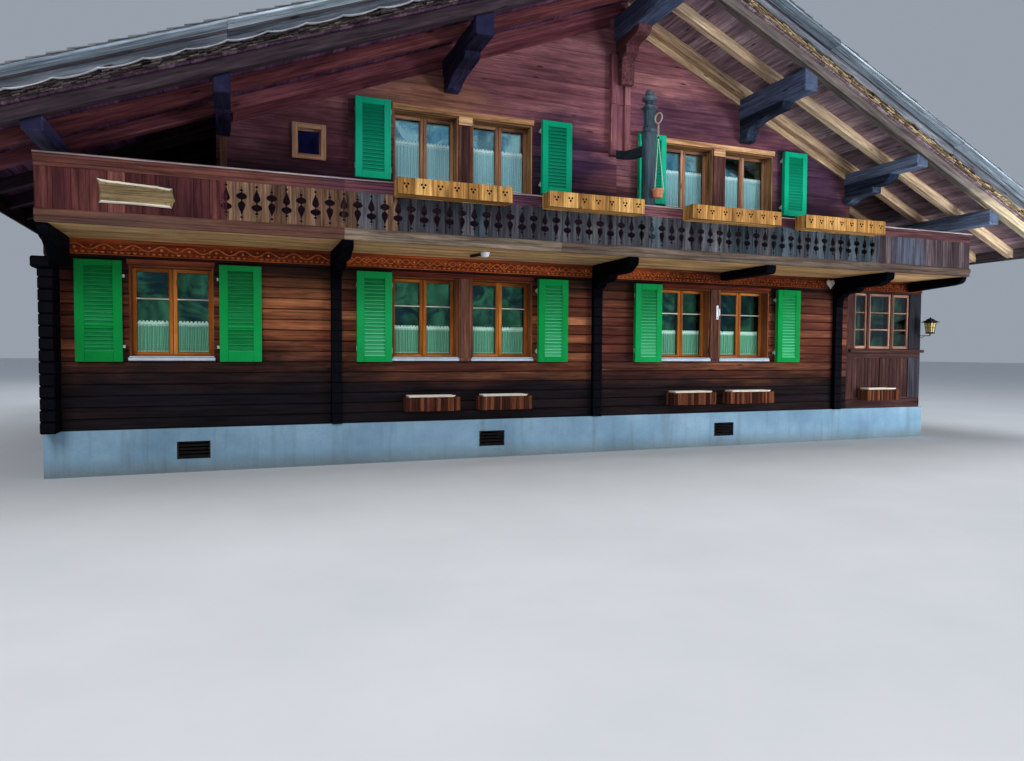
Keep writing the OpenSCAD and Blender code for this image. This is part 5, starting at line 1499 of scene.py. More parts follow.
# barge boards with a scalloped foot, and the flat board under the overhang
M = Mesh()
for side in (0, 1):
    s = SL if side == 0 else SR
    hyp = math.sqrt(1 + s * s)
    xr, xe = (RIDGE_X - .001, EL) if side == 0 else (RIDGE_X + .001, ER)
    L = abs(xe - xr)
    nseg = 3
    gd = (1, 0, SL if side == 0 else -SR)
    for rear in (0, 1):
        for k in range(nseg):
            p0, p1 = L * k / nseg, L * (k + 1) / nseg - .002
            ns = max(4, round((p1 - p0) * hyp / 0.5))
            q = []
            for i in range(ns):
                for f in (0.0, 0.06, 0.13, 0.25, 0.4, 0.5, 0.6, 0.75, 0.87, 0.94):
                    q.append((p0 + (p1 - p0) * (i + f) / ns, 0.030 * abs(2 * f - 1) ** 2.6))
            q.append((p1, 0.030))
            q = np.array(q)
            xs = xr + (xe - xr) * q[:, 0] / L
            zb = zr(xs) + .281 + q[:, 1]
            zt = zr(xs) + .392
            y0, y1 = (-BV - .038, -BV - .004) if not rear else (D + BV + .004, D + BV + .038)
            n = len(xs)
            V = np.zeros((6 * n, 3))
            for j, (yy, zz) in enumerate(((y0, zb), (y0, zb + .014), (y0, zt), (y1, zt), (y1, zb + .014), (y1, zb))):
                V[j::6, 0], V[j::6, 1], V[j::6, 2] = xs, yy, zz
            F = [[6 * i + j, 6 * i + (j + 1) % 6, 6 * (i + 1) + (j + 1) % 6, 6 * (i + 1) + j] for i in range(n - 1) for j in range(6)]
            F += [[5, 4, 3, 2, 1, 0], [6 * (n - 1) + j for j in range(6)]]
            # the lowest 14 mm of each board take their own timber, pale on the left: painted highlight along the
            # scalloped foot
            M.add(V, F, mats=[3 if side == 0 else 4, 0, 0, 0, 0, 3 if side == 0 else 4] * (n - 1) + [0, 0], gdir=gd)
            a, b = sorted((xr + (xe - xr) * p0 / L, xr + (xe - xr) * p1 / L))
            ya, yb = (-BV - .026, -BV - .004) if not rear else (D + BV + .004, D + BV + .026)
            prism(M, slope_poly(a, b, .394, .448), "y", ya, yb, 0.003, gdir=gd, mat=1)
            for (c0, c1) in ((-VERGE + .006, -VERGE + .108), (-VERGE + .112, -BV - .042)):
                if rear:
                    c0, c1 = D - c1, D - c0
                prism(M, slope_poly(a, b, .429 + .003 * float(RNG.random()), RT - .003), "y", c0, c1, 0.004, gdir=gd, mat=2)
M.build("barge_and_verge_boards", [W["barge"], W["barge_up"], W["verge"], W["barge_edge_highlight"], W["rafter_out"]], replaces="barge_boards", slot="verge_timber")

M = Mesh()
for x0, x1, z0, z1 in ((EL - .03, EL, 3.61, float(zr(EL)) + RT - .02), (ER, ER + .03, 3.52, float(zr(ER)) + RT - .02)):
    m = (z0 + z1) / 2
    for a, b in ((-BV, 1.9), (1.9, 5.4), (5.4, 8.3), (8.3, D + BV)):
        box(M, x0, x1, a + .001, b - .001, z0, m - .002, "y", 0.005)
        box(M, x0, x1, a + .001, b - .001, m + .002, z1, "y", 0.005)
M.build("eave_boards", [W["barge_up"]], replaces="eave_fascia", slot="verge_timber")

# ---------------------------------------------------------------- windows
PANES_G, PANES_U = Mesh(), Mesh()


def window(M, F, gd, x0, x1, z0, z1, d, bar=None, mats=(0, 1, 2), panes=None, deep=.058):
    """Lining, frame and two casements. d is the depth of the frame's face behind the wall's face."""
    def bx(a, b, d0, d1, c0, c1, along=True, r=0.003, **k):
        p = F(np.array([a, b], float), np.array([d0, d1], float), np.array([c0, c1], float))
        lo, hi = np.minimum(p[0], p[1]), np.maximum(p[0], p[1])
        box(M, lo[0], hi[0], lo[1], hi[1], lo[2], hi[2], ("x" if gd[0] else "y") if along else "z", r, **k)
    lin, fr, sa = mats
    e = .0008
    # lining of the opening; its right side takes a lighter tone than the left side and the head: painted light and
    # painted shade
    bx(x0 + e, x0 + .022, .004, d - .001, z0 + e, z1 - e, False, mat=lin, tone=.15)
    bx(x1 - .022, x1 - e, .004, d - .001, z0 + e, z1 - e, False, mat=lin, tone=.75)
    bx(x0 + .023, x1 - .023, .004, d - .001, z1 - .022, z1 - e, True, mat=lin, tone=.3)
    # frame
    w = .020
    bx(x0 + e, x0 + w, d, d + deep - .002, z0 + e, z1 - e, False, .004, mat=fr)
    bx(x1 - w, x1 - e, d, d + deep - .002, z0 + e, z1 - e, False, .004, mat=fr)
    bx(x0 + w + .001, x1 - w - .001, d, d + deep - .002, z1 - w, z1 - e, True, .004, mat=fr)
    bx(x0 + w + .001, x1 - w - .001, d, d + deep - .002, z0 + e, z0 + w, True, .004, mat=fr)
    m = (x0 + x1) / 2
    s = .046
    q0, q1 = d + .003, d + deep - .012
    for a, b in ((x0 + w + .002, m - .0025), (m + .0025, x1 - w - .002)):
        c0, c1 = z0 + w + .002, z1 - w - .002
        bx(a, a + s, q0, q1, c0, c1, False, .006, mat=sa)
        bx(b - s, b, q0, q1, c0, c1, False, .006, mat=sa)
        bx(a + s + .0006, b - s - .0006, q0, q1, c1 - .040, c1, True, .006, mat=sa)
        bx(a + s + .0006, b - s - .0006, q0, q1, c0, c0 + .038, True, .006, mat=sa)
        # moulded bead round the glass
        for g0, g1, h0, h1, al in ((a + s, a + s + .008, c0 + .038, c1 - .040, False), (b - s - .008, b - s, c0 + .038, c1 - .040, False),
                                   (a + s + .008, b - s - .008, c0 + .038, c0 + .046, True), (a + s + .008, b - s - .008, c1 - .048, c1 - .040, True)):
            bx(g0, g1, q0 + .008, q0 + .020, h0, h1, al, .003, mat=sa, tone=.2)
        # weather bar at the foot of the casement
        bx(a + .02, b - .02, d - .010, d + .0025, c0 + .004, c0 + .022, True, .006, mat=sa)
        if bar is not None:
            bx(a + s - .004, b - s + .004, q0 + .006, q0 + .022, bar - .009, bar + .009, True, .003, mat=3)
        p = F(np.array([a + s - .01, b - s + .01]), np.array([q0 + .0215, q0 + .0245]), np.array([c0 + .030, c1 - .030]))
        lo, hi = np.minimum(p[0], p[1]), np.maximum(p[0], p[1])
        box(PANES_G if panes is None else panes, lo[0], hi[0], lo[1], hi[1], lo[2], hi[2], "z", 0)


BARWOOD = wood("bar_timber", (150, 136, 118), (190, 178, 160), (220, 210, 194), knots=False, cracks=0.1, streak=0.3)
M = Mesh()
for w in GW:
    window(M, FRONT, (1, 0, 0), w[0], w[1], WZ0, WZ1, GS, bar=2.350)
for w in GB:
    window(M, REAR, (1, 0, 0), w[0], w[1], WZ0, WZ1, .06, bar=2.372)
for w in SW:
    window(M, LEFT, (0, 1, 0), w[0], w[1], WZ0, WZ1, .06, bar=2.372)
    window(M, RIGHT, (0, 1, 0), w[0], w[1], WZ0, WZ1, .06, bar=2.372)
for a, b in ((-7.075, -6.005), (-3.575, -1.285), (1.085, 3.405)):
    # ledge, pale sill strip, head board with a moulding
    prism(M, [(0, 1.50), (-.026, 1.50), (-.030, 1.504), (-.030, 1.512), (0, 1.5145)], "x", a, b, .002, mat=4)
    prism(M, [(0, 2.782), (-.018, 2.782), (-.018, 2.80), (-.024, 2.806), (-.024, 2.832), (-.030, 2.838), (-.030, 2.85), (0, 2.85)], "x", a, b, .002, mat=5)
for w in GW:
    # pale sill, its upstand on the ledge and the sheet inside each opening
    prism(M, [(0, 1.515), (-.026, 1.515), (-.0285, 1.519), (-.0285, 1.550), (-.025, 1.556), (0, 1.5575)], "x", w[0] - .012, w[1] + .012, .002, mat=11)
    prism(M, [(-.028, 1.561), (GS - .002, 1.5635), (GS - .002, 1.577), (-.024, 1.575), (-.029, 1.569)], "x", w[0] + .002, w[1] - .002, .002, mat=11)
for a, b in ((-2.54, -2.32), (2.10, 2.31)):
    box(M, a + .014, b - .014, -.024, 0, 1.5155, WZ0 - .0006, "z", .003, mat=7)
    box(M, a + .001, b - .001, -.016, 0, WZ0, WZ1, "z", .003, mat=7)
    box(M, a + .001, a + .048, -.026, -.0165, WZ0, WZ1, "z", .004, mat=7, tone=.9)
    box(M, b - .048, b - .001, -.026, -.0165, WZ0, WZ1, "z", .004, mat=7, tone=.95)
# rear door leaf with three sunk fields of boards
dx0, dx1 = -.90, .10
for a, b in ((dx0 + .001, dx0 + .118), (dx1 - .118, dx1 - .001)):
    box(M, a, b, D - .12, D - .06, PZ + .122, 2.718, "z", .005, mat=8)
zz = [PZ + .122, .90, 1.38, 1.50, 1.98, 2.10, 2.58, 2.718]
for a, b in zip(zz[0::2], zz[1::2]):
    box(M, dx0 + .119, dx1 - .119, D - .12, D - .06, a, b, "x", .005, mat=8)
for z in (.90, 1.50, 2.10):
    for i in range(8):
        a = dx0 + .12 + .76 * i / 8
        box(M, a + .001, a + .76 / 8 - .001, D - .115, D - .082, z + .001, z + .479, "z", .005, mat=8)
tube(M, [(dx1 - .06, D - .062, 1.42), (dx1 - .06, D - .045, 1.44), (dx1 - .06, D - .045, 1.56), (dx1 - .06, D - .062, 1.58)], .006, 8, mat=9)
# thermometer and a small catch on the post of the right pair
prism(M, [(2.219, 2.255), (2.261, 2.255), (2.261, 2.49), (2.250, 2.503), (2.230, 2.503), (2.219, 2.49)], "y", -.030, -.0165, .002, mat=6, gdir=(0, 0, 1))
tube(M, [(2.240, -.0312, 2.285), (2.240, -.0312, 2.38), (2.240, -.0312, 2.475)], .0035, 8, mat=10)
lathe(M, [(.003, 2.272), (.007, 2.278), (.007, 2.288), (.003, 2.294)], (2.240, -.031, 0), 10, mat=9)
for z in (2.245, 2.513):
    box(M, 2.232, 2.248, -.028, -.0165, z - .010, z + .010, "z", .002, mat=9)
prism(M, [(2.268, 2.325), (2.286, 2.325), (2.286, 2.435), (2.281, 2.443), (2.273, 2.443), (2.268, 2.435)], "y", -.044, -.027, .002, mat=6, gdir=(0, 0, 1))
M.build("windows_ground", [W["reveal"], W["sash"], W["sash"], BARWOOD, W["sill"], W["head"], WHITE, W["cpost"], W["door"], IRON, GLASS_C, SILLW], replaces="ground_window_frames", slot="window_timber")

M = Mesh()
for w in UW:
    window(M, FRONT, (1, 0, 0), w[0], w[1], UZ0, UZ1, US, panes=PANES_U, deep=.050)
for w in UBW:
    window(M, REAR, (1, 0, 0), w[0], w[1], UZ0, UZ1, .05, panes=PANES_U)
for a, b in ((-3.56, -1.30), (1.12, 3.44)):
    prism(M, [(0, 4.09), (-.026, 4.09), (-.034, 4.10), (-.034, 4.128), (-.026, 4.142), (0, 4.149)], "x", a, b, .003, mat=4)
    prism(M, [(0, 5.242), (-.020, 5.242), (-.020, 5.268), (-.027, 5.274), (-.027, 5.300), (-.034, 5.306), (-.034, 5.32), (0, 5.32)], "x", a, b, .002, mat=5)
for a, b in ((-2.54, -2.32), (2.12, 2.36)):
    box(M, a + .001, b - .001, -.015, 0, UZ0, UZ1, "z", .003, mat=7)
    box(M, a + .001, a + .040, -.022, -.0155, UZ0, UZ1 - .125, "z", .003, mat=7, tone=.9)
    box(M, b - .040, b - .001, -.022, -.0155, UZ0, UZ1 - .125, "z", .003, mat=7, tone=1.0)
    # small capital
    prism(M, [(0, UZ1 - .12), (-.018, UZ1 - .12), (-.026, UZ1 - .10), (-.026, UZ1 - .06), (-.020, UZ1 - .05), (-.020, UZ1 - .03), (-.026, UZ1 - .022), (-.026, UZ1 - .002), (0, UZ1 - .002)],
          "x", a + .001, b - .001, .002, mat=5, tone=1.0)
# small window of the left chamber
a, b, c, d = -4.93, -4.57, 4.43, 4.82
for q in ((a - .055, a + .018, c - .055, d + .055, "z"), (b - .018, b + .055, c - .055, d + .055, "z"), (a + .019, b - .019, c - .055, c + .018, "x"), (a + .019, b - .019, d - .018, d + .055, "x")):
    box(M, q[0], q[1], -.030, -.001, q[2], q[3], q[4], .004, mat=1)
for q in ((a + .002, a + .035, c + .002, d - .002, "z"), (b - .035, b - .002, c + .002, d - .002, "z"), (a + .036, b - .036, c + .002, c + .035, "x"), (a + .036, b - .036, d - .035, d - .002, "x")):
    box(M, q[0], q[1], .05, .09, q[2], q[3], q[4], .005, mat=1)
# dark navy pane: painted shade of the chamber behind
PANES_D = Mesh()
box(PANES_D, a + .03, b - .03, .066, .069, c + .03, d - .03, "z", 0)
PANES_D.build("window_pane_chamber", [PANE_D], slot="glass")
M.build("windows_upper", [W["trim_u"], W["sash_u"], W["sash_u"], BARWOOD, W["rail"], W["trim"], WHITE, W["cpost_u"]], replaces="upper_window_frames", slot="window_timber")
PANES_G.build("window_panes_ground", [PANE_G], slot="glass")
PANES_U.build("window_panes_upper", [PANE_U], slot="glass")
# the glass sheets carry the painted reflection, and the ground glass also the painted shade of the room
dress("ground_glass", GLASS_G)
dress("upper_glass", GLASS_U)

# ---------------------------------------------------------------- curtains
def cafe_curtain(name, x0, x1, z0, z1, y, pleats=9, amp=.014, scallop=.034, seed=1):
    """Gathered net on a thin rod across the casement, in front of the inner glass."""
    rng = np.random.default_rng(seed)
    nu, nv = pleats * 12, 22
    u = np.linspace(0, 1, nu + 1)
    ph = rng.random(4) * 6.28
    wob = u + .012 * np.sin(2 * math.pi * 2 * u + ph[0]) + .006 * np.sin(2 * math.pi * 5 * u + ph[1])
    fold = np.sin(2 * math.pi * pleats * wob)
    sharp = fold * (1 - .25 * np.cos(4 * math.pi * pleats * wob))
    V, G = [], []
    rod = z1 - .055
    for j in range(nv + 1):
        t = j / nv
        # header with rounded scallops, hem dips slightly between the folds
        top = z1 - scallop * (1 - np.abs(np.sin(math.pi * pleats * wob)) ** .7)
        bot = z0 + .006 * (1 - np.cos(2 * math.pi * pleats * wob)) * .5
        z = bot + (top - bot) * t
        k = amp * (1.0 - .45 * t) * np.where(np.abs(z - rod) < .02, .35, 1)
        yy = y + k * sharp + .0012 * np.sin(2 * math.pi * 1.3 * u + ph[2])
        xx = x0 + (x1 - x0) * (u + .006 * (1 - t) * np.sin(2 * math.pi * pleats * wob + 1.2))
        V.append(np.stack([xx, yy, z], 1))
        arc = np.concatenate([[0], np.cumsum(np.hypot(np.diff(xx), np.diff(yy)))])
        G.append(np.stack([arc, z - z0, ((z > z1 - .070) | (z < z0 + .014)).astype(float)], 1))
    n = nu + 1
    F = [[j * n + i, j * n + i + 1, (j + 1) * n + i + 1, (j + 1) * n + i] for j in range(nv) for i in range(nu)]
    M = Mesh()
    M.add(np.concatenate(V), F, gc=np.concatenate(G), tone=.5)
    o = M.build(name, [CURTAIN if z1 < 3 else CURTAIN_U], slot="glass", recalc=False)
    o.data.polygons.foreach_set("use_smooth", np.ones(len(o.data.polygons), bool))
    rods.add_rod(x0 - .008, x1 + .008, y, rod)
    return o


class Rods(Mesh):
    def add_rod(self, a, b, y, z):
        tube(self, [(a, y, z), ((a + b) / 2, y, z - .001), (b, y, z)], .0022, 8)


rods = Rods()
for i, (a, b) in enumerate(GW):
    m = (a + b) / 2
    for j, (p, q) in enumerate(((a + .078, m - .060), (m + .060, b - .078))):
        cafe_curtain("curtain_g%d%d" % (i, j), p, q, 1.632, 2.06, GS + .0515, pleats=8, amp=.0055, seed=10 * i + j)
for i, (a, b) in enumerate(UW):
    m = (a + b) / 2
    for j, (p, q) in enumerate(((a + .078, m - .060), (m + .060, b - .078))):
        cafe_curtain("curtain_u%d%d" % (i, j), p, q, 4.222, 4.86, US + .0385, pleats=7, amp=.0050, seed=50 + 10 * i + j)
rods.build("curtain_rods", [IRON], slot="iron")

# ---------------------------------------------------------------- shutters
def leaf(M, x0, z0, w, h, y0, t, stile, top, bot, pitch, mid=None, mat=0, slat=2, tones=(.1, .5, 1.0)):
    """Louvred leaf; y0 is its outer (front) face, t its thickness."""
    y1 = y0 + t
    tn = float(RNG.random())
    box(M, x0, x0 + stile, y0, y1, z0, z0 + h, "z", .004, mat=mat, tone=tn)
    box(M, x0 + w - stile, x0 + w, y0, y1, z0, z0 + h, "z", .004, mat=mat, tone=tn + .1)
    a, b = x0 + stile + .0006, x0 + w - stile - .0006
    box(M, a, b, y0, y1, z0 + h - top, z0 + h, "x", .004, mat=mat, tone=tn)
    box(M, a, b, y0, y1, z0, z0 + bot, "x", .004, mat=mat, tone=tn)
    spans = [(z0 + bot, z0 + h - top)]
    if mid:
        box(M, a, b, y0, y1, mid - .028, mid - .003, "x", .004, mat=mat, tone=tn)
        box(M, a, b, y0, y1, mid + .003, mid + .028, "x", .004, mat=mat, tone=tn)
        box(M, a, b, y0 + .012, y1 - .012, mid - .003, mid + .003, "x", .0005, mat=mat, tone=0)
        spans = [(z0 + bot, mid - .028), (mid + .028, z0 + h - top)]
    for c, d in spans:
        n = max(3, round((d - c) / pitch))
        p = (d - c) / n
        for i in range(n):
            z = c + (i + .5) * p
            # slats slope down towards the front, each over the next
            ya, yb, hz, k = y0 + .0055, y0 + .029, .029, .0034
            poly = [(ya - k * .92, z - hz + k * .39), (ya + k * .92, z - hz - k * .39), (yb + k * .92, z + hz - .002 - k * .39), (yb - k * .92, z + hz - .002 + k * .39)]
            # lower slats take lighter tones than upper ones: painted light towards the foot of the leaf
            prism(M, poly, "x", a - .004, b + .004, .0012, mat=slat, tone=tones[0] + (tones[1] - tones[0]) * (1 - i / n) + .12 * float(RNG.random()))
            # rounded nose of the slat, given a lighter tone: painted highlight
            prism(M, [(ya - .0036, z - hz + .0015), (ya - .0022, z - hz - .001), (ya + .001, z - hz - .0005), (ya + .0045, z - hz + .0095), (ya + .0010, z - hz + .0105), (ya - .0024, z - hz + .007)],
                  "x", a + .0006, b - .0006, 0, mat=slat, tone=tones[0] + (tones[2] - tones[0]) * (.35 + .65 * (1 - i / n)) + .10 * float(RNG.random()))


SHY, SHT = -.037, .038
M = Mesh()
for x in (-4.100, -1.235, .530, 3.505):
    for k in (0, 1):
        y = SHY - SHT - k * (SHT + .004)
        leaf(M, x + (.0015 if k == 0 else 0), 1.50, .515 - (.003 if k == 0 else 0), 1.32, y, SHT, .108, .100, .092, .0535)
    inner = x + .515 if x in (-4.100, .530) else x
    s = 1 if x in (-4.100, .530) else -1
    for z in (1.50 + .20, 1.50 + 1.32 - .20):
        # folding hinge between the two leaves
        tube(M, [(inner - s * .515, SHY - SHT - .002, z - .035), (inner - s * .515, SHY - SHT - .002, z + .035)], .0055, 8, mat=1)
M.build("shutters_ground", [GREEN_G, FITTING, SLAT_G], replaces="ground_shutters", slot="shutter_ground")
M = Mesh()
for x in (-4.115, -1.190, .570, 3.590):
    for k in (0, 1):
        y = SHY - SHT - k * (SHT + .004)
        leaf(M, x + (.0015 if k == 0 else 0), 4.17, .515 - (.003 if k == 0 else 0), 1.15, y, SHT, .100, .088, .090, .0535, tones=(.05, .3, .75))
    inner = x + .515 if x in (-4.115, .570) else x
    s = 1 if x in (-4.115, .570) else -1
    for z in (4.17 + .17, 4.17 + 1.15 - .17):
        tube(M, [(inner - s * .515, SHY - SHT - .002, z - .035), (inner - s * .515, SHY - SHT - .002, z + .035)], .0055, 8, mat=1)
M.build("shutters_upper", [GREEN_U, FITTING, SLAT_U], replaces="upper_shutters", slot="shutter_upper")

HXL, HXR, HY = -7.11, -5.97, -.056
for side, (x0, axis, body, node, nm) in enumerate(((HXL - .02 - .545, HXL, "shutter_left", "shutter_leaf_left", "leaf_left"), (HXR + .02, HXR, "shutter_right", "shutter_leaf_right", "leaf_right"))):
    M = Mesh()
    leaf(M, x0, 1.50, .545, 1.32, SHY - SHT, SHT, .109, .075, .140, .0495, mid=1.962, tones=(.0, .12, .42))
    s = -1 if side == 0 else 1
    for z in (1.70, 2.62):
        # knuckle with its bore, and the strap into the stile
        n = 20
        ang = np.arange(n) * 2 * math.pi / n
        V = []
        for rr, zz in ((.013, z - .02), (.013, z + .02), (.0078, z + .02), (.0078, z - .02)):
            V.append(np.stack([axis + rr * np.cos(ang), HY + rr * np.sin(ang), np.full(n, zz)], 1))
        F = [[j * n + i, j * n + (i + 1) % n, ((j + 1) % 4) * n + (i + 1) % n, ((j + 1) % 4) * n + i] for j in range(4) for i in range(n)]
        M.add(np.concatenate(V), F, mat=1, gdir=(0, 0, 1))
        a, b = sorted((axis + s * .012, axis + s * .11))
        prism(M, [(a, z - .018), (b, z - .012), (b, z + .012), (a, z + .018)] if s > 0 else [(a, z - .012), (b, z - .018), (b, z + .018), (a, z + .012)],
              "y", HY - .003, HY + .003, .001, mat=1, gdir=(1, 0, 0))
    M.build("shutter_" + nm, [GREEN_G, FITTING, SLAT_G], body=body, replaces=node, slot="shutter_ground")
M = Mesh()
for x in (HXL, HXR):
    for z in (1.70, 2.62):
        lathe(M, [(.0055, z - .060), (.007, z - .057), (.007, z + .024), (.0045, z + .030)], (x, HY, 0), 14)
        prism(M, [(x - .007, HY + .004), (x + .007, HY + .004), (x + .007, 0), (x - .007, 0)], "z", z - .060, z - .030, .0015)
M.build("pintles", [IRON], replaces="shutter_pins", slot="iron")

# brackets of the folded shutters beside the windows
M = Mesh()
for zc, h, xs in ((1.50, 1.32, (-3.585, -1.235, 1.045, 3.505)), (4.17, 1.15, (-3.60, -1.19, 1.085, 3.59))):
    for x in xs:
        for f in (.13, .86):
            z = zc + h * f
            s = 1 if x in (-3.585, 1.045, -3.60, 1.085) else -1
            a, b = sorted((x - s * .002, x + s * .020))
            box(M, a, b, -.050, -.001, z - .022, z + .022, "z", .003)
            lathe(M, [(.004, z - .040), (.0075, z - .036), (.0075, z + .036), (.004, z + .040)], (x + s * .010, -.052, 0), 10)
M.build("shutter_brackets", [FITTING], slot="iron")

# ---------------------------------------------------------------- flower boxes
def mound(M, x0, x1, y0, y1, z, mat, h=.012, n=(40, 8)):
    nx, ny = n
    X, Y = np.meshgrid(np.linspace(x0, x1, nx + 1), np.linspace(y0, y1, ny + 1))
    Z = z + h * (.5 + .5 * np.sin(X * 31 + 1.7 * np.sin(Y * 40))) * np.sin(math.pi * (Y - y0) / (y1 - y0)) ** .5 + .003 * RNG.random(X.shape)
    top = np.stack([X, Y, Z], -1).reshape(-1, 3)
    bot = top.copy()
    bot[:, 2] = z - .02
    w = nx + 1
    N = len(top)
    F = []
    for j in range(ny):
        for i in range(nx):
            a = j * w + i
            F.append([a, a + 1, a + w + 1, a + w])
            F.append([N + a, N + a + w, N + a + w + 1, N + a + 1])
    for i in range(nx):
        F.append([i, N + i, N + i + 1, i + 1])
        a = ny * w + i
        F.append([a, a + 1, N + a + 1, N + a])
    for j in range(ny):
        a = j * w
        F.append([a, a + w, N + a + w, N + a])
        a = j * w + nx
        F.append([a, N + a, N + a + w, a + w])
    M.add(np.concatenate([top, bot]), F, mat=mat, gdir=(0, 0, 1))


def ring2(cx, cz, r, n=12):
    t = np.arange(n) * 2 * math.pi / n
    return np.stack([cx + r * np.cos(t), cz + r * np.sin(t)], 1)


M = Mesh()
for a, b in ((-3.80, -2.23), (-1.69, -.18), (.64, 2.30), (2.79, 4.48)):
    y0, y1, z0, z1 = -BAL_D - .334, -BAL_D - .084, 3.67, 3.88
    n = max(6, round((b - a) / .222))
    for i in range(n):
        p, q = a + (b - a) * i / n + .0008, a + (b - a) * (i + 1) / n - .0008
        c = (p + q) / 2
        holes = [ring2(c - .024, z0 + .132, .0150), ring2(c + .024, z0 + .132, .0150), ring2(c, z0 + .096, .0165)]
        plate(M, [(p, z0), (q, z0), (q, z1), (p, z1)], holes, lambda u, v, t: (u, t, v), y0, y0 + .020, gdir=(0, 0, 1), tone=float(RNG.random()), hole_mat=1)
    # back, ends, floor, inner lining behind the holes
    for i in range(n):
        p, q = a + (b - a) * i / n + .0008, a + (b - a) * (i + 1) / n - .0008
        box(M, p, q, y1 - .020, y1, z0, z1, "z", .002)
    for p, q in ((a, a + .020), (b - .020, b)):
        m = (y0 + y1) / 2
        box(M, p, q, y0 + .0205, m - .0008, z0, z1, "z", .002)
        box(M, p, q, m + .0008, y1 - .0205, z0, z1, "z", .002)
    box(M, a + .021, b - .021, y0 + .021, y1 - .021, z0 + .004, z0 + .024, "x", .002)
    box(M, a + .021, b - .021, y0 + .0215, y0 + .027, z0 + .025, z1 - .012, "x", .001, mat=1)
    box(M, a + .021, b - .021, y1 - .027, y1 - .0215, z0 + .025, z1 - .012, "x", .001, mat=1)
    mound(M, a + .024, b - .024, y0 + .028, y1 - .028, z1 - .047, 2)
    for s in (.2, .8):
        # iron that carries the box on the rail
        x = a + (b - a) * s
        box(M, x - .015, x + .015, y1 + .0005, -BAL_D - .0845 + .001, z0 + .02, z0 + .024, "x", 0, mat=3)
M.build("boxes_balcony", [W["box_gold"], IRON, SOIL, IRON], replaces="balcony_flower_boxes", slot="box_gold")

M = Mesh()
for a, b in ((-3.40, -2.57), (-2.24, -1.39), (1.22, 2.09), (2.40, 3.35), (5.58, 6.40)):
    y0, y1, z0, z1 = -.24, 0.0, .76, 1.00
    x = a
    while x < b - 1e-6:
        w = min(.030 + .030 * float(RNG.random()), b - x)
        if b - x - w < .02:
            w = b - x
        out = float(RNG.random()) * .006
        cut = float(RNG.random()) * .010
        m = x + w / 2
        prism(M, [(x + .0006, y0 + .016), (x + .0006, y0 + .006 + out * .5), (m, y0 + out), (x + w - .0006, y0 + .006 + out * .5), (x + w - .0006, y0 + .016)], "z", z0 + cut, z1 - .026, .001)
        x += w
    y = y0 + .017
    while y < y1 - 1e-6:
        w = min(.035 + .02 * float(RNG.random()), y1 - y)
        for p, q, o in ((a, a + .015, 1), (b - .015, b, -1)):
            box(M, p, q, y + .0006, y + w - .0006, z0, z1 - .026, "z", .002)
        y += w
    # top board round the white liner, which stands above the slats
    la, lb, ly0, ly1 = a + .050, b - .080, y0 + .030, y1 - .010
    box(M, a + .0155, b - .0155, y0 + .017, ly0 - .0006, z1 - .044, z1 - .028, "x", .002)
    box(M, a + .0155, la - .0006, ly0, y1 - .002, z1 - .044, z1 - .028, "y", .002)
    box(M, lb + .0006, b - .0155, ly0, y1 - .002, z1 - .044, z1 - .028, "y", .002)
    for p, q, r_, s in ((la, lb, ly0, ly0 + .005), (la, lb, ly1 - .005, ly1)):
        box(M, p, q, r_, s, z0 + .03, z1 - .008, "x", .001, mat=1)
    for p, q in ((la, la + .005), (lb - .005, lb)):
        box(M, p, q, ly0 + .0055, ly1 - .0055, z0 + .03, z1 - .008, "y", .001, mat=1)
    # rolled rim
    rim = [(la - .004, ly0 - .004, z1 - .007), (lb + .004, ly0 - .004, z1 - .007), (lb + .004, ly1 + .002, z1 - .007), (la - .004, ly1 + .002, z1 - .007)]
    for i in range(4):
        tube(M, [rim[i], tuple((np.array(rim[i]) + np.array(rim[(i + 1) % 4])) / 2), rim[(i + 1) % 4]], .0068, 8, mat=1)
    box(M, la + .0055, lb - .0055, ly0 + .0055, ly1 - .0055, z0 + .032, z0 + .040, "x", .001, mat=1)
    box(M, a + .016, b - .016, y0 + .017, y1 - .002, z0 + .002, z0 + .020, "x", .002, mat=0)
    mound(M, la + .006, lb - .006, ly0 + .006, ly1 - .006, z1 - .034, 2)
M.build("boxes_wall", [W["box_dark"], LINER, SOIL], replaces="wall_flower_boxes", slot="box_dark")

# ---------------------------------------------------------------- sign, bare
M = Mesh()
face = np.array([(-7.20, 3.34), (-6.44, 3.33), (-6.40, 3.42), (-6.43, 3.56), (-6.60, 3.58), (-7.00, 3.60), (-7.22, 3.62), (-7.19, 3.48)])
dens = []
for i in range(len(face)):
    p, q = face[i], face[(i + 1) % len(face)]
    k = max(2, int(np.linalg.norm(q - p) / .03))
    nrm = unit([(q - p)[1], -(q - p)[0]])
    for j in range(k):
        t = j / k
        dens.append(p + (q - p) * t - nrm * (.003 + .0045 * math.sin(9 * t * k / 3 + i) ** 2) * math.sin(math.pi * t) ** .5)
dens = np.array(dens)
inn = inset(dens, .026)
n = len(dens)
y_f, y_b = -BAL_D - .060, -BAL_D - .032
V, F, ms = [], [], []
loops = [(dens, y_b, 0), (dens, y_f + .016, 0), (inset(dens, .010), y_f + .003, 0), (inset(dens, .017), y_f + .001, 0), (inn, y_f + .0065, 0)]
for L, y, _ in loops:
    V += [(p[0], y, p[1]) for p in L]
for j in range(len(loops) - 1):
    for i in range(n):
        F.append([j * n + i, j * n + (i + 1) % n, (j + 1) * n + (i + 1) % n, (j + 1) * n + i])
        d2 = dens[(i + 1) % n] - dens[i]
        ms.append(1 if abs(d2[0]) > abs(d2[1]) else 0)
F += [list(range(n)), [(len(loops) - 1) * n + i for i in range(n)]]
ms += [1, 0]
M.add(V, F, mats=ms, gdir=(1, 0, 0), tone=.4)
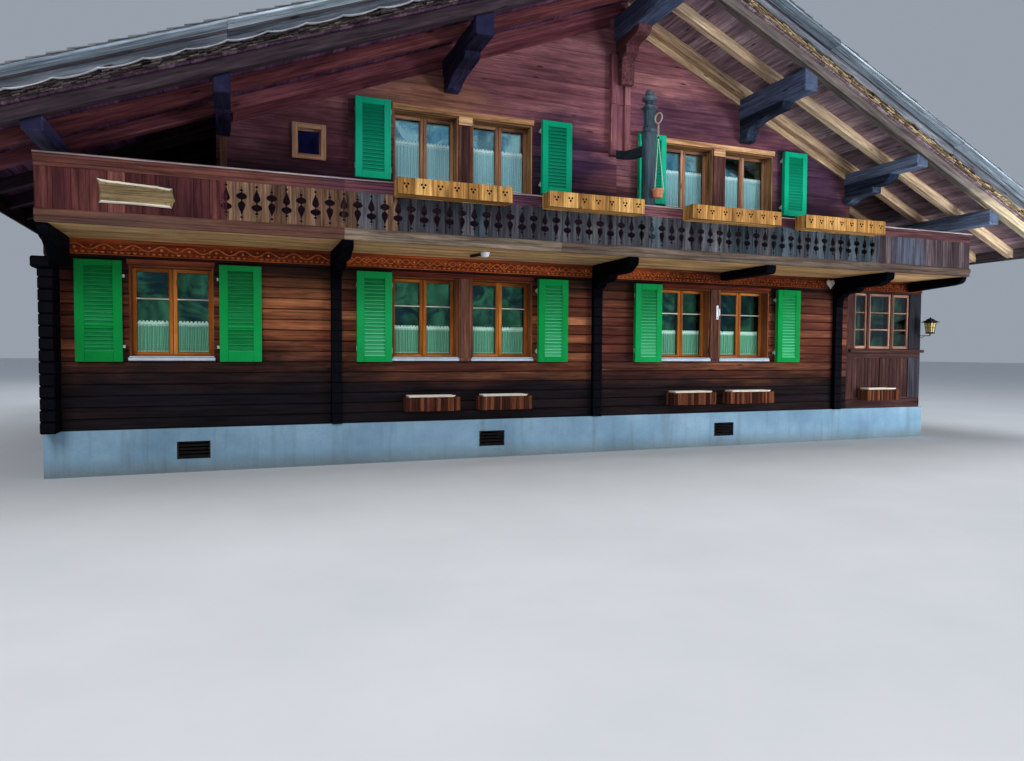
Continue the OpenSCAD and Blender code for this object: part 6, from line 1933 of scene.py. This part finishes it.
for x, z in ((-7.12, 3.56), (-7.10, 3.39), (-6.52, 3.52), (-6.50, 3.38), (-6.82, 3.55), (-6.80, 3.375)):
    lathe(M, [(.002, -.0045), (.005, -.0035), (.006, 0)], (x, y_f + .0065, z), 10, axis="y", mat=2)
M.build("sign_blank", [W["sign"], W["bark"], IRON], replaces="sign_board", slot="sign_timber")

# ---------------------------------------------------------------- small fittings
M = Mesh()
# heart beside the right console, pale and slightly domed
hx, hz, hs = 4.795, 2.985, .0060
t = np.linspace(0, 2 * math.pi, 41)[:-1]
heart = np.stack([hx + hs * 16 * np.sin(t) ** 3, hz + hs * (13 * np.cos(t) - 5 * np.cos(2 * t) - 2 * np.cos(3 * t) - np.cos(4 * t))], 1)
mid = heart.mean(0)
rings = [(heart, -.030), (heart, -.046), (mid + (heart - mid) * .90, -.055), (mid + (heart - mid) * .55, -.064), (mid + (heart - mid) * .12, -.067)]
n = len(heart)
V = [(p[0], y, p[1]) for L, y in rings for p in L]
F = [[j * n + i, j * n + (i + 1) % n, (j + 1) * n + (i + 1) % n, (j + 1) * n + i] for j in range(len(rings) - 1) for i in range(n)]
F += [list(range(n))[::-1], [(len(rings) - 1) * n + i for i in range(n)]]
M.add(V, F, gdir=(0, 0, 1))
# lamp under the balcony, on a flat arm
beam(M, (-2.47, -.44, 3.070), (-2.405, -.74, 3.070), .050, .036, mat=1, r=.004)
lathe(M, [(.012, 3.018), (.034, 3.022), (.052, 3.034), (.060, 3.052), (.060, 3.062), (.066, 3.064), (.066, 3.088)], (-2.375, -.80, 0), 20, mat=2)
M.build("fittings_small", [HEART, IRON, WHITE], slot="iron", smooth=35)

# ---------------------------------------------------------------- lantern
M = Mesh()
cx, cy = 7.155, -.25
box(M, 7.125, 7.185, -.008, 0, 1.98, 2.08, "z", .003)
tube(M, [(cx, -.006, 2.031), (cx, -.06, 2.031), (cx, -.16, 2.031), (cx, -.25, 2.031)], .0068, 8)
tube(M, [(cx, -.006, 1.992), (cx, -.05, 1.990), (cx, -.10, 2.005), (cx, -.13, 2.026)], .005, 8)
lathe(M, [(.007, 2.0245), (.009, 2.03), (.009, 2.05), (.016, 2.056), (.016, 2.062), (.010, 2.070)], (cx, cy, 0), 14)
lathe(M, [(.075, 2.070), (.084, 2.074), (.084, 2.084), (.078, 2.092)], (cx, cy, 0), 4, turn=math.pi / 4)
for sx in (-1, 1):
    for sy in (-1, 1):
        beam(M, (cx + sx * .050, cy + sy * .050, 2.092), (cx + sx * .072, cy + sy * .072, 2.288), .009, .009, up=(1, 0, 0), r=.0015)
for k in range(4):
    a = math.pi / 2 * k
    c, s = math.cos(a), math.sin(a)
    R = lambda u, v, z: (cx + c * u - s * v, cy + s * u + c * v, z)
    for u in (0,):
        beam(M, R(.0505, u, 2.092), R(.0725, u, 2.288), .006, .006, up=(s + .001, c, 0), r=.001)
    for z, u in ((2.095, .051), (2.19, .0615), (2.284, .072)):
        beam(M, R(u, -u, z), R(u, u, z), .008, .006, up=(0, 0, 1), r=.001)
    V = [R(.0465, -.045, 2.096), R(.0465, .045, 2.096), R(.0675, .066, 2.284), R(.0675, -.066, 2.284),
         R(.0450, -.045, 2.096), R(.0450, .045, 2.096), R(.0660, .066, 2.284), R(.0660, -.066, 2.284)]
    M.add(V, [[0, 1, 2, 3], [7, 6, 5, 4], [0, 4, 5, 1], [1, 5, 6, 2], [2, 6, 7, 3], [3, 7, 4, 0]], mat=1, gdir=(0, 0, 1))
q = math.sqrt(2)
lathe(M, [(.104 * q, 2.290), (.113 * q, 2.293), (.114 * q, 2.300), (.085 * q, 2.318), (.055 * q, 2.338), (.046 * q, 2.360)], (cx, cy, 0), 4, turn=math.pi / 4)
lathe(M, [(.040, 2.358), (.044, 2.364), (.030, 2.372), (.012, 2.378), (.0095, 2.388), (.0095, 2.394), (.004, 2.40)], (cx, cy, 0), 14)
lathe(M, [(.014, 2.093), (.016, 2.10), (.016, 2.16), (.006, 2.175)], (cx, cy, 0), 12, mat=2)
M.build("lantern_detail", [IRON, AMBER, WHITE], replaces="lantern", slot="iron")
